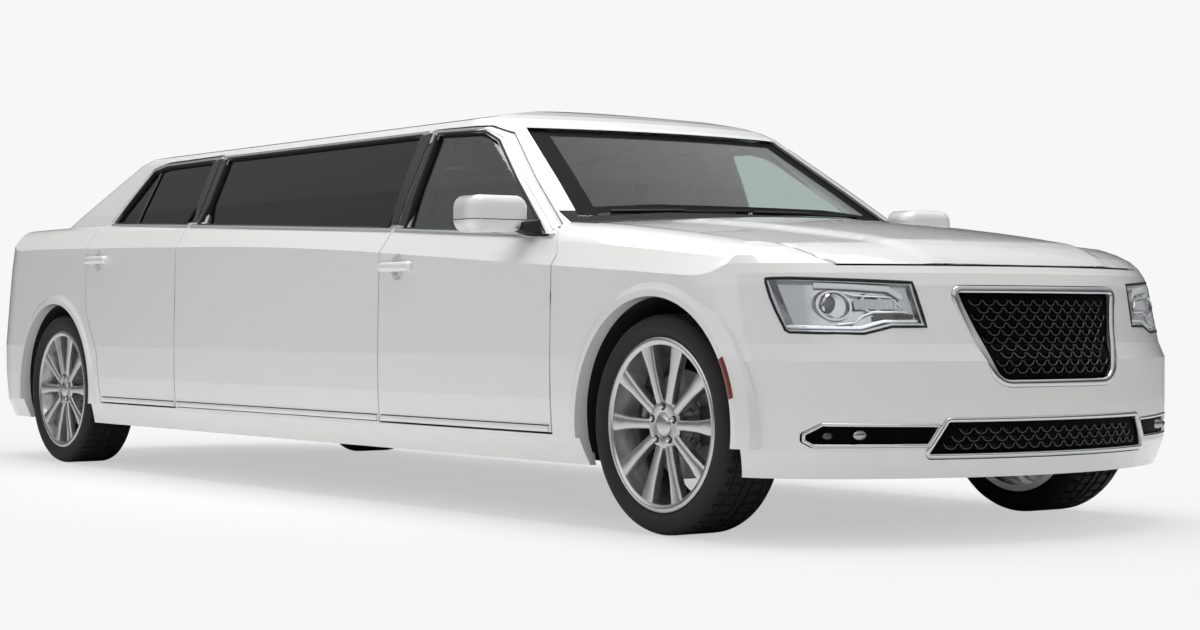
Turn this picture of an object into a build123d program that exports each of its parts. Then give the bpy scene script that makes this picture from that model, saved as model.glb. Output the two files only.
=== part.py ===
from build123d import *
from math import atan2, cos, pi, radians, sin, sqrt
import os

# Stretched four-door saloon, in millimetres: +X forward, +Y left, +Z up.
# The origin is on the ground, midway between the foremost and rearmost points.

# Overall sizes
WHEELBASE = 4730.0
FRONT_OVERHANG = 870.0
REAR_OVERHANG = 1000.0
HALF_WIDTH = 944.0
ROOF_Z = 1500.0
SILL_Z = 205.0
DOOR_BOTTOM_Z = 300.0

# Wheels and wells
TYRE_R = 352.0
TYRE_W = 245.0
BEAD_R = 271.0
RIM_WALL = 14.0
RIM_W = 226.0
HALF_TRACK = 800.0
ARCH_R = 408.0
ARCH_LIP_W = 62.0
ARCH_LIP_RISE = 8.0
LINER = 8.0
WELL_INNER_Y = 468.0
KINGPIN_Y = 750.0
SPINDLE_R = 28.0
PIN_PLAY = 0.3
SPOKES = 10
DISC_R = 175.0

# Body panels
SKIN = 38.0
DOOR_WALL = 114.0
GLASS_WALL = 45.0
ROOF_CROWN_R = 3400.0
SHUT_GAP = 7.0
GLASS = 5.0
GLASS_SET = 12.0
FLOOR_T = 35.0
RING_PROUD = 4.0
BULKHEAD_T = 40.0

# Hinges
HINGE_DEPTH = 14.0
HINGE_SETBACK = 36.0
HINGE_PIN_R = 5.0
HINGE_PLATE = 22.0
HINGE_POCKET = 34.0

FRONT_X = (FRONT_OVERHANG + WHEELBASE + REAR_OVERHANG) / 2
REAR_X = -FRONT_X
FRONT_AXLE = FRONT_X - FRONT_OVERHANG
REAR_AXLE = REAR_X + REAR_OVERHANG
AXLE_Z = TYRE_R


def fx(d):
    """A place given from the front axle."""
    return FRONT_AXLE + d


def rx(d):
    """A place given from the rear axle."""
    return REAR_AXLE + d


# Body sides, level by level: height, inset of the side from the half width,
# setback of the nose and of the tail from the two ends. Above the widest level
# the side leans in by one slope, added to the inset.
WIDEST_Z = 560.0
SIDE_LEAN = 0.019
SIDE_LEVELS = [
    (SILL_Z, 38, 38, 45),
    (290, 10, 4, 12),
    (420, 2, 0, 2),
    (WIDEST_Z, 0, 0, 0),
    (612, 0, 28, 8),
    (790, 0, 72, 36),
    (828, 0, 90, 42),
    (858, 0, 116, 48),
    (884, 0, 154, 52),
    (908, 0, 215, 56),
    (940, 0, 330, 62),
    (1050, 0, 700, 96),
    (1118, 0, 900, 210),
    (1300, 0, 1300, 700),
]
NOSE_R, NOSE_CORNER_R = 1300.0, 450.0
TAIL_R, TAIL_CORNER_R = 2600.0, 400.0

# Body top, station by station: place, height of the shoulder crease, of the belt,
# of the edge of the top panel and of its middle.
TOP_STATIONS = [
    (fx(970), 770, 822, 866, 858),
    (fx(570), 797, 856, 898, 928),
    (fx(0), 836, 906, 966, 1006),
    (fx(-550), 868, 950, 1016, 1048),
    (fx(-1730), 937, 1012, 1060, 1080),
    (rx(1300), 997, 1080, 1118, 1138),
    (rx(350), 1014, 1094, 1130, 1150),
    (rx(-376), 1022, 1096, 1126, 1146),
    (rx(-1100), 1020, 1080, 1106, 1120),
]
CREASE_INSET, BELT_INSET, EDGE_INSET = 6.0, 60.0, 204.0

# Cabin above the belt, level by level: height, half width, windscreen middle
# (from the front axle), rear window middle (from the rear axle).
CABIN_LEVELS = [
    (930, 893, -369, -830),
    (1180, 800, -780, -300),
    (1405, 703, -1160, 205),
    (1432, 680, -1222, 290),
    (1452, 641, -1290, 382),
    (1475, 570, -1400, 500),
    (ROOF_Z + 10, 388, -1680, 766),
]
SCREEN_R, SCREEN_CORNER_R = 2100.0, 170.0
REAR_SCREEN_R, REAR_SCREEN_CORNER_R = 1800.0, 220.0


def outline(z, side, nose, tail, radii):
    """Closed plan outline at one height: nose arc, corner arcs, sides, tail arc."""
    nose_r, corner_r, tail_corner_r, tail_r = radii

    def end(x_end, big, small, s):
        hub = x_end - s * big
        dy = side - small
        dx = sqrt((big - small) ** 2 - dy**2)
        a = atan2(dy, dx)
        half = (a + pi / 2) / 2
        joint = (hub + s * big * cos(a), big * sin(a))
        middle = (hub + s * (dx + small * cos(half)), dy + small * sin(half))
        return joint, middle, (hub + s * dx, side)

    nose_joint, nose_mid, nose_side = end(nose, nose_r, corner_r, 1)
    tail_joint, tail_mid, tail_side = end(tail, tail_r, tail_corner_r, -1)

    def at(q, m=1):
        return (q[0], m * q[1], z)

    edges = [ThreePointArc(at(nose_joint, -1), (nose, 0, z), at(nose_joint))]
    edges.append(ThreePointArc(at(nose_joint), at(nose_mid), at(nose_side)))
    edges.append(Line(at(nose_side), at(tail_side)))
    edges.append(ThreePointArc(at(tail_side), at(tail_mid), at(tail_joint)))
    edges.append(ThreePointArc(at(tail_joint), (tail, 0, z), at(tail_joint, -1)))
    edges.append(ThreePointArc(at(tail_joint, -1), at(tail_mid, -1), at(tail_side, -1)))
    edges.append(Line(at(tail_side, -1), at(nose_side, -1)))
    edges.append(ThreePointArc(at(nose_side, -1), at(nose_mid, -1), at(nose_joint, -1)))
    return Wire(edges)


def lower_body(inset, drop):
    """Body below the belt with hood and deck; a larger inset gives its inside."""
    radii = (NOSE_R, NOSE_CORNER_R, TAIL_CORNER_R, TAIL_R)
    rings = []
    for z, side, nose, tail in SIDE_LEVELS:
        half = HALF_WIDTH - side - SIDE_LEAN * max(0, z - WIDEST_Z) - inset
        level = z - drop if z == SILL_Z else z
        front = FRONT_X - RING_PROUD - nose - inset
        rings.append(outline(level, half, front, REAR_X + tail + inset, radii))
    walls = Solid.make_loft(rings, True)

    sections = []
    for x, crease, belt, edge, middle in TOP_STATIONS:
        slope = (belt - crease) / (BELT_INSET - CREASE_INSET)
        out = HALF_WIDTH + 60
        low = (out, crease - slope * (60 + CREASE_INSET) - inset)
        belt_p = (HALF_WIDTH - BELT_INSET, belt - inset)
        edge_p = (HALF_WIDTH - EDGE_INSET, edge - inset)
        knee = ((belt_p[0] + edge_p[0]) / 2 + 12, (belt_p[1] + edge_p[1]) / 2 + 15)
        half = [(out, 0), low, belt_p, knee, edge_p]
        left = [(x, y, z) for y, z in half]
        right = [(x, -y, z) for y, z in half]
        wire = [Line(right[0], left[0]), Line(left[0], left[1]), Line(left[1], left[2])]
        wire.append(ThreePointArc(left[2], left[3], left[4]))
        wire.append(ThreePointArc(left[4], (x, 0, middle - inset), right[4]))
        wire.append(ThreePointArc(right[4], right[3], right[2]))
        wire += [Line(right[2], right[1]), Line(right[1], right[0])]
        sections.append(Wire(wire))
    return walls & Solid.make_loft(sections, False)


def cabin(inset):
    """Cabin above the belt; a larger inset gives its inside."""
    radii = (SCREEN_R, SCREEN_CORNER_R, REAR_SCREEN_CORNER_R, REAR_SCREEN_R)
    rings = []
    for z, side, nose, tail in CABIN_LEVELS:
        rings.append(outline(z, side - 1.08 * inset, fx(nose) - 1.9 * inset, rx(tail) + 2.3 * inset, radii))
    roof = Pos(0, 0, ROOF_Z - inset - ROOF_CROWN_R) * Rot(0, 90, 0) * Cylinder(ROOF_CROWN_R, 2 * FRONT_X)
    return Solid.make_loft(rings, True) & roof


def box(x0, x1, y0, y1, z0, z1):
    return Pos((x0 + x1) / 2, (y0 + y1) / 2, (z0 + z1) / 2) * Box(x1 - x0, y1 - y0, z1 - z0)


def side_face(points, y):
    return make_face(Polyline(*[(x, y, z) for x, z in points], close=True))


def side_prism(points, y0, y1, grow=0.0):
    """Solid with a side-view outline, from y0 to y1; the outline can be grown or shrunk."""
    face = side_face(points, y0)
    if grow:
        face = offset(face, grow, kind=Kind.INTERSECTION)
    return extrude(face, y1 - y0, dir=(0, 1, 0))


def front_prism(points, x0, x1, round_r=0.0, grow=0.0, foot_r=0.0):
    """Solid with a front-view outline (y, z), from x0 to x1, its corners rounded."""
    face = make_face(Polyline(*[(x0, y, z) for y, z in points], close=True))
    if foot_r:
        face = fillet(face.vertices().group_by(Axis.Z)[0], foot_r)
        face = fillet(face.vertices().group_by(Axis.Z)[-1], round_r)
    elif round_r:
        face = fillet(face.vertices(), round_r)
    if grow:
        face = offset(face, grow)
    return extrude(face, x1 - x0, dir=(1, 0, 0))


def plan_prism(points, z0, z1):
    """Solid with a plan outline (x, y), from z0 to z1."""
    face = make_face(Polyline(*[(x, y, z0) for x, y in points], close=True))
    return extrude(face, z1 - z0, dir=(0, 0, 1))


def rod_y(x, z, r, y0, y1):
    return Pos(x, (y0 + y1) / 2, z) * Rot(90, 0, 0) * Cylinder(r, y1 - y0)


def rod_z(x, y, r, z0, z1):
    return Pos(x, y, (z0 + z1) / 2) * Cylinder(r, z1 - z0)


def rod_x(y, z, r, x0, x1):
    return Pos((x0 + x1) / 2, y, z) * Rot(0, 90, 0) * Cylinder(r, x1 - x0)


def other_side(shape):
    return mirror(shape, about=Plane.XZ)


def both(shape):
    return shape + other_side(shape)


def save(name, *shapes):
    solids = []
    for shape in shapes:
        solids += list(shape.solids())
    export_step(solids[0] if len(solids) == 1 else Compound(children=solids), f"parts/{name}.step")


os.makedirs("parts", exist_ok=True)

# Places along the car
DOOR_FRONT_X = fx(-560)
B_LINE_X = fx(-1700)
REAR_DOOR_X = rx(1300)
REAR_DOOR_END_X = rx(345)
FIREWALL_X = fx(-670)
REAR_WALL_X = rx(470)
DECK_X = rx(-410)
BELT_Y = HALF_WIDTH - BELT_INSET
CABIN_Y = HALF_WIDTH - DOOR_WALL
HINGE_Y = HALF_WIDTH - HINGE_DEPTH
FAR = 1200.0

# Shell
outer = lower_body(0, 0) + cabin(0)
for axle in (FRONT_AXLE, REAR_AXLE):
    rim_y = HALF_WIDTH + ARCH_LIP_RISE
    lip = make_face(
        Polyline(
            (axle + ARCH_R - 5, HALF_WIDTH - 60, AXLE_Z),
            (axle + ARCH_R - 5, rim_y, AXLE_Z),
            (axle + ARCH_R + 22, rim_y, AXLE_Z),
            (axle + ARCH_R + ARCH_LIP_W, HALF_WIDTH - 14, AXLE_Z),
            (axle + ARCH_R + ARCH_LIP_W, HALF_WIDTH - 60, AXLE_Z),
            close=True,
        )
    )
    flare = revolve(lip, Axis((axle, 0, AXLE_Z), (0, 1, 0)), 360)
    flare = flare & box(axle - FAR, axle + FAR, 0, FAR, SILL_Z + 90, FAR)
    outer = outer + both(flare)

# Spaces inside the shell
DASH_Z = 1005.0
SHELF_Z = 1100.0
BOOT_TOP_Z = 1060.0
BAY_X = FIREWALL_X + BULKHEAD_T
POST_X = DOOR_FRONT_X + 30
POST_Y = 780.0
COWL_X = fx(-518)
BOOT_X = REAR_WALL_X - BULKHEAD_T
FLOOR_Y = 760.0
FLOOR_TOP = SILL_Z + FLOOR_T
TUNNEL_Y, TUNNEL_Z, TUNNEL_T = 105.0, 335.0, 14.0

cabin_in = cabin(GLASS_WALL)
cabin_in = cabin_in - box(FIREWALL_X, FRONT_X, -FAR, FAR, 0, DASH_Z)
cabin_in = cabin_in - box(REAR_X, REAR_WALL_X, -FAR, FAR, 0, SHELF_Z)
room = box(REAR_WALL_X, FIREWALL_X, -CABIN_Y, CABIN_Y, DOOR_BOTTOM_Z, DASH_Z)
room = room + box(REAR_WALL_X, FIREWALL_X, -FLOOR_Y, FLOOR_Y, FLOOR_TOP, DOOR_BOTTOM_Z)
room = room + cabin_in

hollow = lower_body(SKIN, 80)
bay = hollow & (box(POST_X, FRONT_X, -FAR, FAR, 0, FAR) + box(BAY_X, FRONT_X, -POST_Y, POST_Y, 0, FAR))
bay = bay - box(BAY_X - 1, COWL_X, -FAR, FAR, 960, FAR)
boot = hollow & box(REAR_X, BOOT_X, -FAR, FAR, 0, FAR)
boot = boot - box(DECK_X + 30, BOOT_X + 1, -FAR, FAR, BOOT_TOP_Z, FAR)

shell = outer - room - bay - boot
wells = []
for axle in (FRONT_AXLE, REAR_AXLE):
    well = rod_y(axle, AXLE_Z, ARCH_R, WELL_INNER_Y, FAR)
    wells.append(well)
    shell = shell - well - other_side(well)

# Doors: opening outline (x, z), hinge place, radius of the trailing edge, window outline
FRAME_Y = 560.0
RAIL_Z = 1412.0
GRIP_L, GRIP_H, GRIP_OUT = 210.0, 26.0, 14.0
DOORS = {
    "front": (
        [
            (DOOR_FRONT_X, DOOR_BOTTOM_Z),
            (DOOR_FRONT_X, 905),
            (fx(-622), 976),
            (fx(-1215), 1372),
            (fx(-1310), 1402),
            (B_LINE_X - 150, RAIL_Z),
            (B_LINE_X - 150, DOOR_BOTTOM_Z),
        ],
        DOOR_FRONT_X,
        B_LINE_X,
        [
            (fx(-712), 984),
            (fx(-1225), 1336),
            (fx(-1320), 1374),
            (B_LINE_X + 66, 1384),
            (B_LINE_X + 66, 1030),
        ],
    ),
    "rear": (
        [
            (REAR_DOOR_X, DOOR_BOTTOM_Z),
            (REAR_DOOR_X, RAIL_Z),
            (rx(745), 1408),
            (rx(600), 1384),
            (rx(330), 1118),
            (rx(330), 770),
            (rx(395), 650),
            (rx(470), 545),
            (rx(510), DOOR_BOTTOM_Z),
        ],
        REAR_DOOR_X,
        REAR_DOOR_END_X,
        [
            (REAR_DOOR_X - 76, 1106),
            (REAR_DOOR_X - 76, 1384),
            (rx(745), 1381),
            (rx(632), 1364),
            (rx(420), 1138),
        ],
    ),
}
STRETCH_WINDOW = [
    (B_LINE_X - 62, 1036),
    (B_LINE_X - 62, 1386),
    (REAR_DOOR_X + 56, 1386),
    (REAR_DOOR_X + 56, 1102),
]
WINDSCREEN = [(-735, 1042), (-400, 1062), (400, 1062), (735, 1042), (592, 1392), (-592, 1392)]
REAR_WINDOW = [(-600, 1168), (600, 1168), (520, 1385), (-520, 1385)]
HINGE_HEIGHTS = (440.0, 760.0)

glass_out = cabin(GLASS_SET)
glass_layer = glass_out - cabin(GLASS_SET + GLASS)
windscreen_cut = front_prism(WINDSCREEN, fx(-1450), fx(-380))
rear_window_cut = front_prism(REAR_WINDOW, rx(-620), rx(700))
stretch_cut = side_prism(STRETCH_WINDOW, FRAME_Y, FAR)
save("windscreen", glass_layer & windscreen_cut)
stretch_glass = glass_layer & stretch_cut
save("privacy_glass", glass_layer & rear_window_cut, stretch_glass, other_side(stretch_glass))

rest = shell - windscreen_cut - rear_window_cut - both(stretch_cut)
hinge_brackets = []
for name, (opening, lead_x, end_x, window) in DOORS.items():
    pin_x = lead_x - SHUT_GAP - 1 - HINGE_SETBACK
    reach = pin_x - end_x
    swing = rod_z(pin_x, HINGE_Y, reach, 0, FAR + ROOF_Z)
    hole = side_prism(opening, FRAME_Y, FAR) & swing
    leaf_zone = box(REAR_X, FRONT_X, CABIN_Y, FAR, 0, 980) + box(REAR_X, FRONT_X, FRAME_Y, FAR, 980, ROOF_Z)
    door = side_prism(opening, FRAME_Y, FAR, -SHUT_GAP)
    door = door & rod_z(pin_x, HINGE_Y, reach - SHUT_GAP, 0, FAR + ROOF_Z)
    door = shell & door & leaf_zone
    door = door - box(lead_x - SHUT_GAP - 1, lead_x, 0, FAR, 0, FAR)
    window_cut = side_prism(window, FRAME_Y, FAR)
    glass = glass_layer & window_cut
    door = door - window_cut
    if name == "rear":
        inner_edge = side_prism(opening, FRAME_Y, HINGE_Y - 15)
        inner_edge = inner_edge - side_prism(opening, FRAME_Y, HINGE_Y, -SHUT_GAP - 8)
        door = door - (inner_edge & box(rx(0), rx(700), CABIN_Y - 1, FAR, 0, 800))
        door = door - (inner_edge & glass_out & box(rx(0), rx(900), 0, FAR, 1000, ROOF_Z))
    plates = []
    for z in HINGE_HEIGHTS:
        low, high = z - HINGE_PLATE / 2, z + HINGE_PLATE / 2
        pocket = rod_z(pin_x, HINGE_Y, 72, z - HINGE_POCKET / 2, z + HINGE_POCKET / 2)
        door = door - (pocket & box(REAR_X, FRONT_X, 0, HINGE_Y + 9, 0, FAR))
        door = door - rod_z(pin_x, HINGE_Y, HINGE_PIN_R + PIN_PLAY, z - 40, z + 40)
        plate = box(pin_x - 8, pin_x + 8, HINGE_Y - 44, HINGE_Y, low, high)
        plate = plate + box(pin_x - 8, lead_x + 4, HINGE_Y - 60, HINGE_Y - 44, low, high)
        plate = plate + rod_z(pin_x, HINGE_Y, 8, low, high)
        plate = plate + rod_z(pin_x, HINGE_Y, HINGE_PIN_R, z - 36, z + 36)
        plates.append(plate)
    handle = box(0, GRIP_L, HALF_WIDTH - 16, HALF_WIDTH + GRIP_OUT, 0, GRIP_H)
    handle = fillet(handle.edges().filter_by(Axis.Z), 12)
    cup = Pos(GRIP_L / 2, HALF_WIDTH, GRIP_H / 2) * Rot(-90, 0, 0) * Cone(40, 66, 52)
    grip_place = Pos(end_x + 30, 0, 868 if name == "front" else 948)
    door = door - grip_place * cup + grip_place * handle
    hinge_brackets += plates
    rest = rest - hole - other_side(hole)
    save(f"door_{name}_left", door)
    save(f"door_{name}_right", other_side(door))
    save(f"glass_{name}_left", glass)
    save(f"glass_{name}_right", other_side(glass))

# Hood and boot lid, hinged at the screens
LID_GAP = 6.0
LID_HINGE_GAP = 20.0
LID_PIN_IN = 14.0
LID_PIN_Y = 400.0
HOOD_REAR_X = COWL_X + LID_HINGE_GAP
HOOD_LIP_Z = 856.0
HOOD_PLAN = [
    (HOOD_REAR_X, 772),
    (fx(220), 772),
    (fx(520), 700),
    (FRONT_X, 440),
    (FRONT_X, -440),
    (fx(520), -700),
    (fx(220), -772),
    (HOOD_REAR_X, -772),
]
BOOT_PLAN = [(DECK_X, 640), (DECK_X, -640), (REAR_X, -640), (REAR_X, 640)]
BOOT_LIP_Z = 650.0


def lid(plan, lip_z, hinge_x, out):
    """Panel of the shell inside a plan outline, and the opening it leaves."""
    leaf = shell & plan_prism(plan, lip_z, FAR)
    face = make_face(Polyline(*[(x, y, lip_z - LID_GAP) for x, y in plan], close=True))
    hole = extrude(offset(face, LID_GAP, kind=Kind.INTERSECTION), FAR, dir=(0, 0, 1))
    hole = hole + box(min(hinge_x, hinge_x - out), max(hinge_x, hinge_x - out), -640, 640, lip_z, FAR)
    return leaf, hole


def lid_hinge(leaf, pin_x, pin_z, foot_x):
    """Round the hinge edge, cut pockets and bores for two pins, and make their brackets."""
    brackets = []
    edge = box(min(pin_x, foot_x), max(pin_x, foot_x), -640, 640, pin_z, FAR)
    leaf = leaf - (edge - rod_y(pin_x, pin_z, LID_HINGE_GAP + LID_PIN_IN - 5.5, -FAR, FAR))
    for y in (LID_PIN_Y, -LID_PIN_Y):
        pocket = rod_y(pin_x, pin_z, 46, y - 16, y + 16)
        leaf = leaf - (pocket & box(REAR_X, FRONT_X, -FAR, FAR, 0, pin_z + 7.5))
        leaf = leaf - rod_y(pin_x, pin_z, HINGE_PIN_R + PIN_PLAY, y - 32, y + 32)
        arm = box(pin_x - 6, pin_x + 6, y - 10, y + 10, pin_z - 62, pin_z)
        x0, x1 = min(pin_x - 8, foot_x), max(pin_x + 8, foot_x)
        arm = arm + box(x0, x1, y - 10, y + 10, pin_z - 74, pin_z - 44)
        arm = arm + rod_y(pin_x, pin_z, 6.5, y - 10, y + 10)
        arm = arm + rod_y(pin_x, pin_z, HINGE_PIN_R, y - 30, y + 30)
        brackets.append(arm)
    return leaf, brackets


hood, hood_hole = lid(HOOD_PLAN, HOOD_LIP_Z, HOOD_REAR_X, LID_HINGE_GAP)
boot_lid, boot_hole = lid(BOOT_PLAN, BOOT_LIP_Z, DECK_X, -LID_HINGE_GAP)
HOOD_PIN = (HOOD_REAR_X + LID_PIN_IN, 1020.0)
BOOT_PIN = (DECK_X - LID_PIN_IN, 1122.0)
hood, hood_arms = lid_hinge(hood, *HOOD_PIN, COWL_X - 30)
boot_lid, boot_arms = lid_hinge(boot_lid, *BOOT_PIN, DECK_X + 60)
save("hood", hood)
save("boot_lid", boot_lid)
rest = rest - hood_hole - boot_hole

# Lamps
LENS = 5.0
LAMP_WALL, LAMP_DEEP = 6.0, 29.0
FRONT_LAMP = [(462, 668), (482, 796), (846, 812), (930, 800), (930, 652), (640, 646), (560, 668)]
FRONT_LAMP_END = [(fx(432), 840), (fx(530), 620), (FRONT_X, 620), (FRONT_X, 840)]
TAIL_LAMP = [(655, 700), (655, 985), (950, 985), (950, 720)]
PROJECTORS = [(700, 728, 46), (600, 735, 30)]

lens_in = lower_body(LENS, 0)
lamp_zone = front_prism(FRONT_LAMP, fx(400), FRONT_X) & side_prism(FRONT_LAMP_END, 300, FAR)
tail_zone = front_prism(TAIL_LAMP, REAR_X, rx(-790))
lamp_block = (outer & lamp_zone) - hollow
lens = lamp_block - lens_in
lamp_space = front_prism(FRONT_LAMP, fx(400), FRONT_X, 0, -LAMP_WALL)
lamp_space = lamp_space & side_prism(FRONT_LAMP_END, 300, FAR, -LAMP_WALL)
lamp_space = (lamp_space & lens_in) - lower_body(LAMP_DEEP, 0)
bowl = (lamp_block & lens_in) - lamp_space
for y, z, r in PROJECTORS:
    barrel = rod_x(y, z, r, fx(400), FRONT_X) - rod_x(y, z, r - LAMP_WALL, fx(400), FRONT_X)
    bowl = bowl + (barrel & lamp_space & (Pos(-6, 0, 0) * lens_in))
save("front_lamps", bowl, other_side(bowl))
save("front_lamp_lenses", lens, other_side(lens))
tail_lamp = (outer & tail_zone) - hollow
save("tail_lamps", tail_lamp, other_side(tail_lamp))
rest = rest - both(lamp_zone) - both(tail_zone)

# Grilles, each a mesh of scale-shaped openings in a bright surround; the surround of
# the lower one runs on round two side recesses
GRILLE = [(-378, 792), (378, 792), (262, 478), (-262, 478)]
GRILLE_ROUND, GRILLE_FOOT_R, GRILLE_RING = 34.0, 84.0, 24.0
INTAKE = [(-505, 262), (505, 262), (425, 390), (-425, 390)]
INTAKE_ROUND, INTAKE_RING = 24.0, 16.0
RECESS = [(476, 300), (431, 372), (770, 376), (815, 345), (815, 318), (790, 300)]
RECESS_ROUND, RECESS_RING = 12.0, 12.0
RING_DEEP = 28.0
MESH_SET, MESH_T = 16.0, 8.0
MESH_RIM = 12.0
SCALE_ACROSS, SCALE_UP = 50.0, 23.0
SCALE = [(-21, 6), (-12, -5), (0, -9), (12, -5), (21, 6), (0, 1)]
MESH_X0, MESH_X1 = fx(400), FRONT_X + 60


def scales(points, ring):
    """Mesh openings in staggered rows inside a four-cornered outline."""
    (low, half_low), (high, half_high) = sorted({(z, abs(y)) for y, z in points})
    cell = front_prism(SCALE, MESH_X0, MESH_X1)
    reach = SCALE[-2][0] + ring + MESH_RIM
    rows = int((high - low - 2 * (ring + MESH_RIM)) / SCALE_UP)
    cells = []
    for row in range(rows):
        z = (low + high) / 2 + (row - (rows - 1) / 2) * SCALE_UP
        half = half_low + (half_high - half_low) * (z - low) / (high - low) - reach
        if row in (0, rows - 1):
            half = half - MESH_RIM
        shift = SCALE_ACROSS / 2 if row % 2 else 0
        count = int((half + shift) / SCALE_ACROSS) + 1
        for k in range(-count, count + 1):
            y = k * SCALE_ACROSS + shift
            if abs(y) <= half:
                cells.append(Pos(0, y, z) * cell)
    return cells


nose = outer & box(MESH_X0, FRONT_X + 50, -880, 880, SILL_Z, 830)
ring_layer = Pos(RING_PROUD, 0, 0) * nose - Pos(-RING_DEEP, 0, 0) * nose
mesh_layer = Pos(-MESH_SET, 0, 0) * nose - Pos(-MESH_SET - MESH_T, 0, 0) * nose
grille_hole = front_prism(GRILLE, MESH_X0, MESH_X1, GRILLE_ROUND, 0, GRILLE_FOOT_R)
grille_in = front_prism(GRILLE, MESH_X0, MESH_X1, GRILLE_ROUND, -GRILLE_RING, GRILLE_FOOT_R)
intake_hole = front_prism(INTAKE, MESH_X0, MESH_X1, INTAKE_ROUND)
intake_in = front_prism(INTAKE, MESH_X0, MESH_X1, INTAKE_ROUND, -INTAKE_RING)
recess_hole = front_prism(RECESS, MESH_X0, MESH_X1, RECESS_ROUND)
recess_in = front_prism(RECESS, MESH_X0, MESH_X1, RECESS_ROUND, -RECESS_RING)
lower_hole = intake_hole + both(recess_hole)
upper_ring = ring_layer & (grille_hole - grille_in)
lower_ring = ring_layer & (lower_hole - intake_in - recess_in - other_side(recess_in))
upper_mesh = (mesh_layer & grille_in) - scales(GRILLE, GRILLE_RING)
lower_mesh = (mesh_layer & intake_in) - scales(INTAKE, INTAKE_RING)
recess_back = mesh_layer & recess_in
save("grille_surrounds", upper_ring, lower_ring)
save("grilles", upper_mesh, lower_mesh, recess_back, other_side(recess_back))

# Bumpers, bulkheads, floor, fenders, roof and sides share the rest of the shell
BUMPER_TOP = 655.0
LAMP_INNER_Y = 455.0
bumper_zone = box(fx(0), FRONT_X + 50, -FAR, FAR, 0, BUMPER_TOP)
bumper_zone = bumper_zone + box(fx(520), FRONT_X + 50, -LAMP_INNER_Y, LAMP_INNER_Y, 0, HOOD_LIP_Z - LID_GAP)
front_bumper = (rest & bumper_zone) - grille_hole - lower_hole
save("front_bumper", front_bumper)
rear_bumper_zone = box(REAR_X - 50, rx(0), -FAR, FAR, 0, BOOT_LIP_Z - LID_GAP)
save("rear_bumper", rest & rear_bumper_zone)
rest = rest - bumper_zone - rear_bumper_zone

channel = box(BOOT_X - 1, BAY_X + 1, -TUNNEL_Y, TUNNEL_Y, 0, TUNNEL_Z)
dash_zone = box(FIREWALL_X, BAY_X, -POST_Y, POST_Y, 0, 1000)
dash_zone = dash_zone + box(fx(-780), COWL_X, -POST_Y, POST_Y, 955, 1064)
shelf_zone = box(BOOT_X, REAR_WALL_X, -POST_Y, POST_Y, 0, SHELF_Z)
shelf_zone = shelf_zone + box(DECK_X, REAR_WALL_X, -640, 640, 1050, 1168)
firewall = (rest & dash_zone) - channel
for arm in hood_arms:
    firewall = firewall + arm
rear_wall = (rest & shelf_zone) - channel
for arm in boot_arms:
    rear_wall = rear_wall + arm
rest = rest - dash_zone - shelf_zone
save("firewall", firewall)
save("rear_bulkhead", rear_wall)

floor_zone = box(REAR_WALL_X, FIREWALL_X, -FLOOR_Y, FLOOR_Y, 0, FLOOR_TOP)
tunnel_y = TUNNEL_Y + TUNNEL_T
tunnel = box(REAR_WALL_X, FIREWALL_X, -tunnel_y, tunnel_y, FLOOR_TOP, TUNNEL_Z + TUNNEL_T)
BOOT_FLOOR_Z = 430.0
LINER_INNER_Y = WELL_INNER_Y - LINER
boot_floor = box(rx(-880), BOOT_X, -LINER_INNER_Y, LINER_INNER_Y, BOOT_FLOOR_Z, BOOT_FLOOR_Z + 25)
save("floor_pan", (rest & floor_zone) + tunnel - channel, boot_floor)
rest = rest - floor_zone

fender_zone = box(DOOR_FRONT_X, FRONT_X, 900, FAR, DOOR_BOTTOM_Z, FAR)
fender_zone = fender_zone + box(POST_X, FRONT_X, 300, FAR, DOOR_BOTTOM_Z, FAR)
fender = rest & fender_zone
save("fender_left", fender)
save("fender_right", other_side(fender))
roof_zone = box(REAR_X, FRONT_X, -590, 590, 1375, FAR + ROOF_Z)
save("roof_panel", rest & roof_zone)
rest = rest - both(fender_zone) - roof_zone
side = rest & box(REAR_X - 50, FRONT_X + 50, 0, FAR, 0, ROOF_Z + 50)
for plate in hinge_brackets:
    side = side + plate
save("body_side_left", side)
save("body_side_right", other_side(side))

# Wheel arch liners
well_parts = []
for axle, space in ((FRONT_AXLE, bay), (REAR_AXLE, boot)):
    shellring = rod_y(axle, AXLE_Z, ARCH_R + LINER, LINER_INNER_Y, FAR)
    shellring = shellring - rod_y(axle, AXLE_Z, ARCH_R, WELL_INNER_Y, FAR)
    shellring = shellring & box(REAR_X, FRONT_X, 0, FAR, SILL_Z + 40, FAR)
    shellring = shellring - box(REAR_X, FRONT_X, 0, WELL_INNER_Y, 0, 570)
    shellring = shellring & space
    well_parts += [shellring, other_side(shellring)]
save("wheel_arch_liners", *well_parts)

# Wheels: the left one is made about the wheel centre with its face at +Y
HUB_R, HUB_IN, HUB_OUT = 62.0, -26.0, 78.0
SPOKE_T = 26.0
DISC_T = 26.0
RIM_EDGE = RIM_W / 2

tyre_half = [(BEAD_R, RIM_EDGE - 14), (TYRE_R - 30, TYRE_W / 2), (TYRE_R, TYRE_W / 2 - 22)]
tyre_points = [(r, y, 0) for r, y in tyre_half] + [(r, -y, 0) for r, y in reversed(tyre_half)]
tyre = revolve(make_face(Polyline(*tyre_points, close=True)), Axis.Y, 360)

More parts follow.
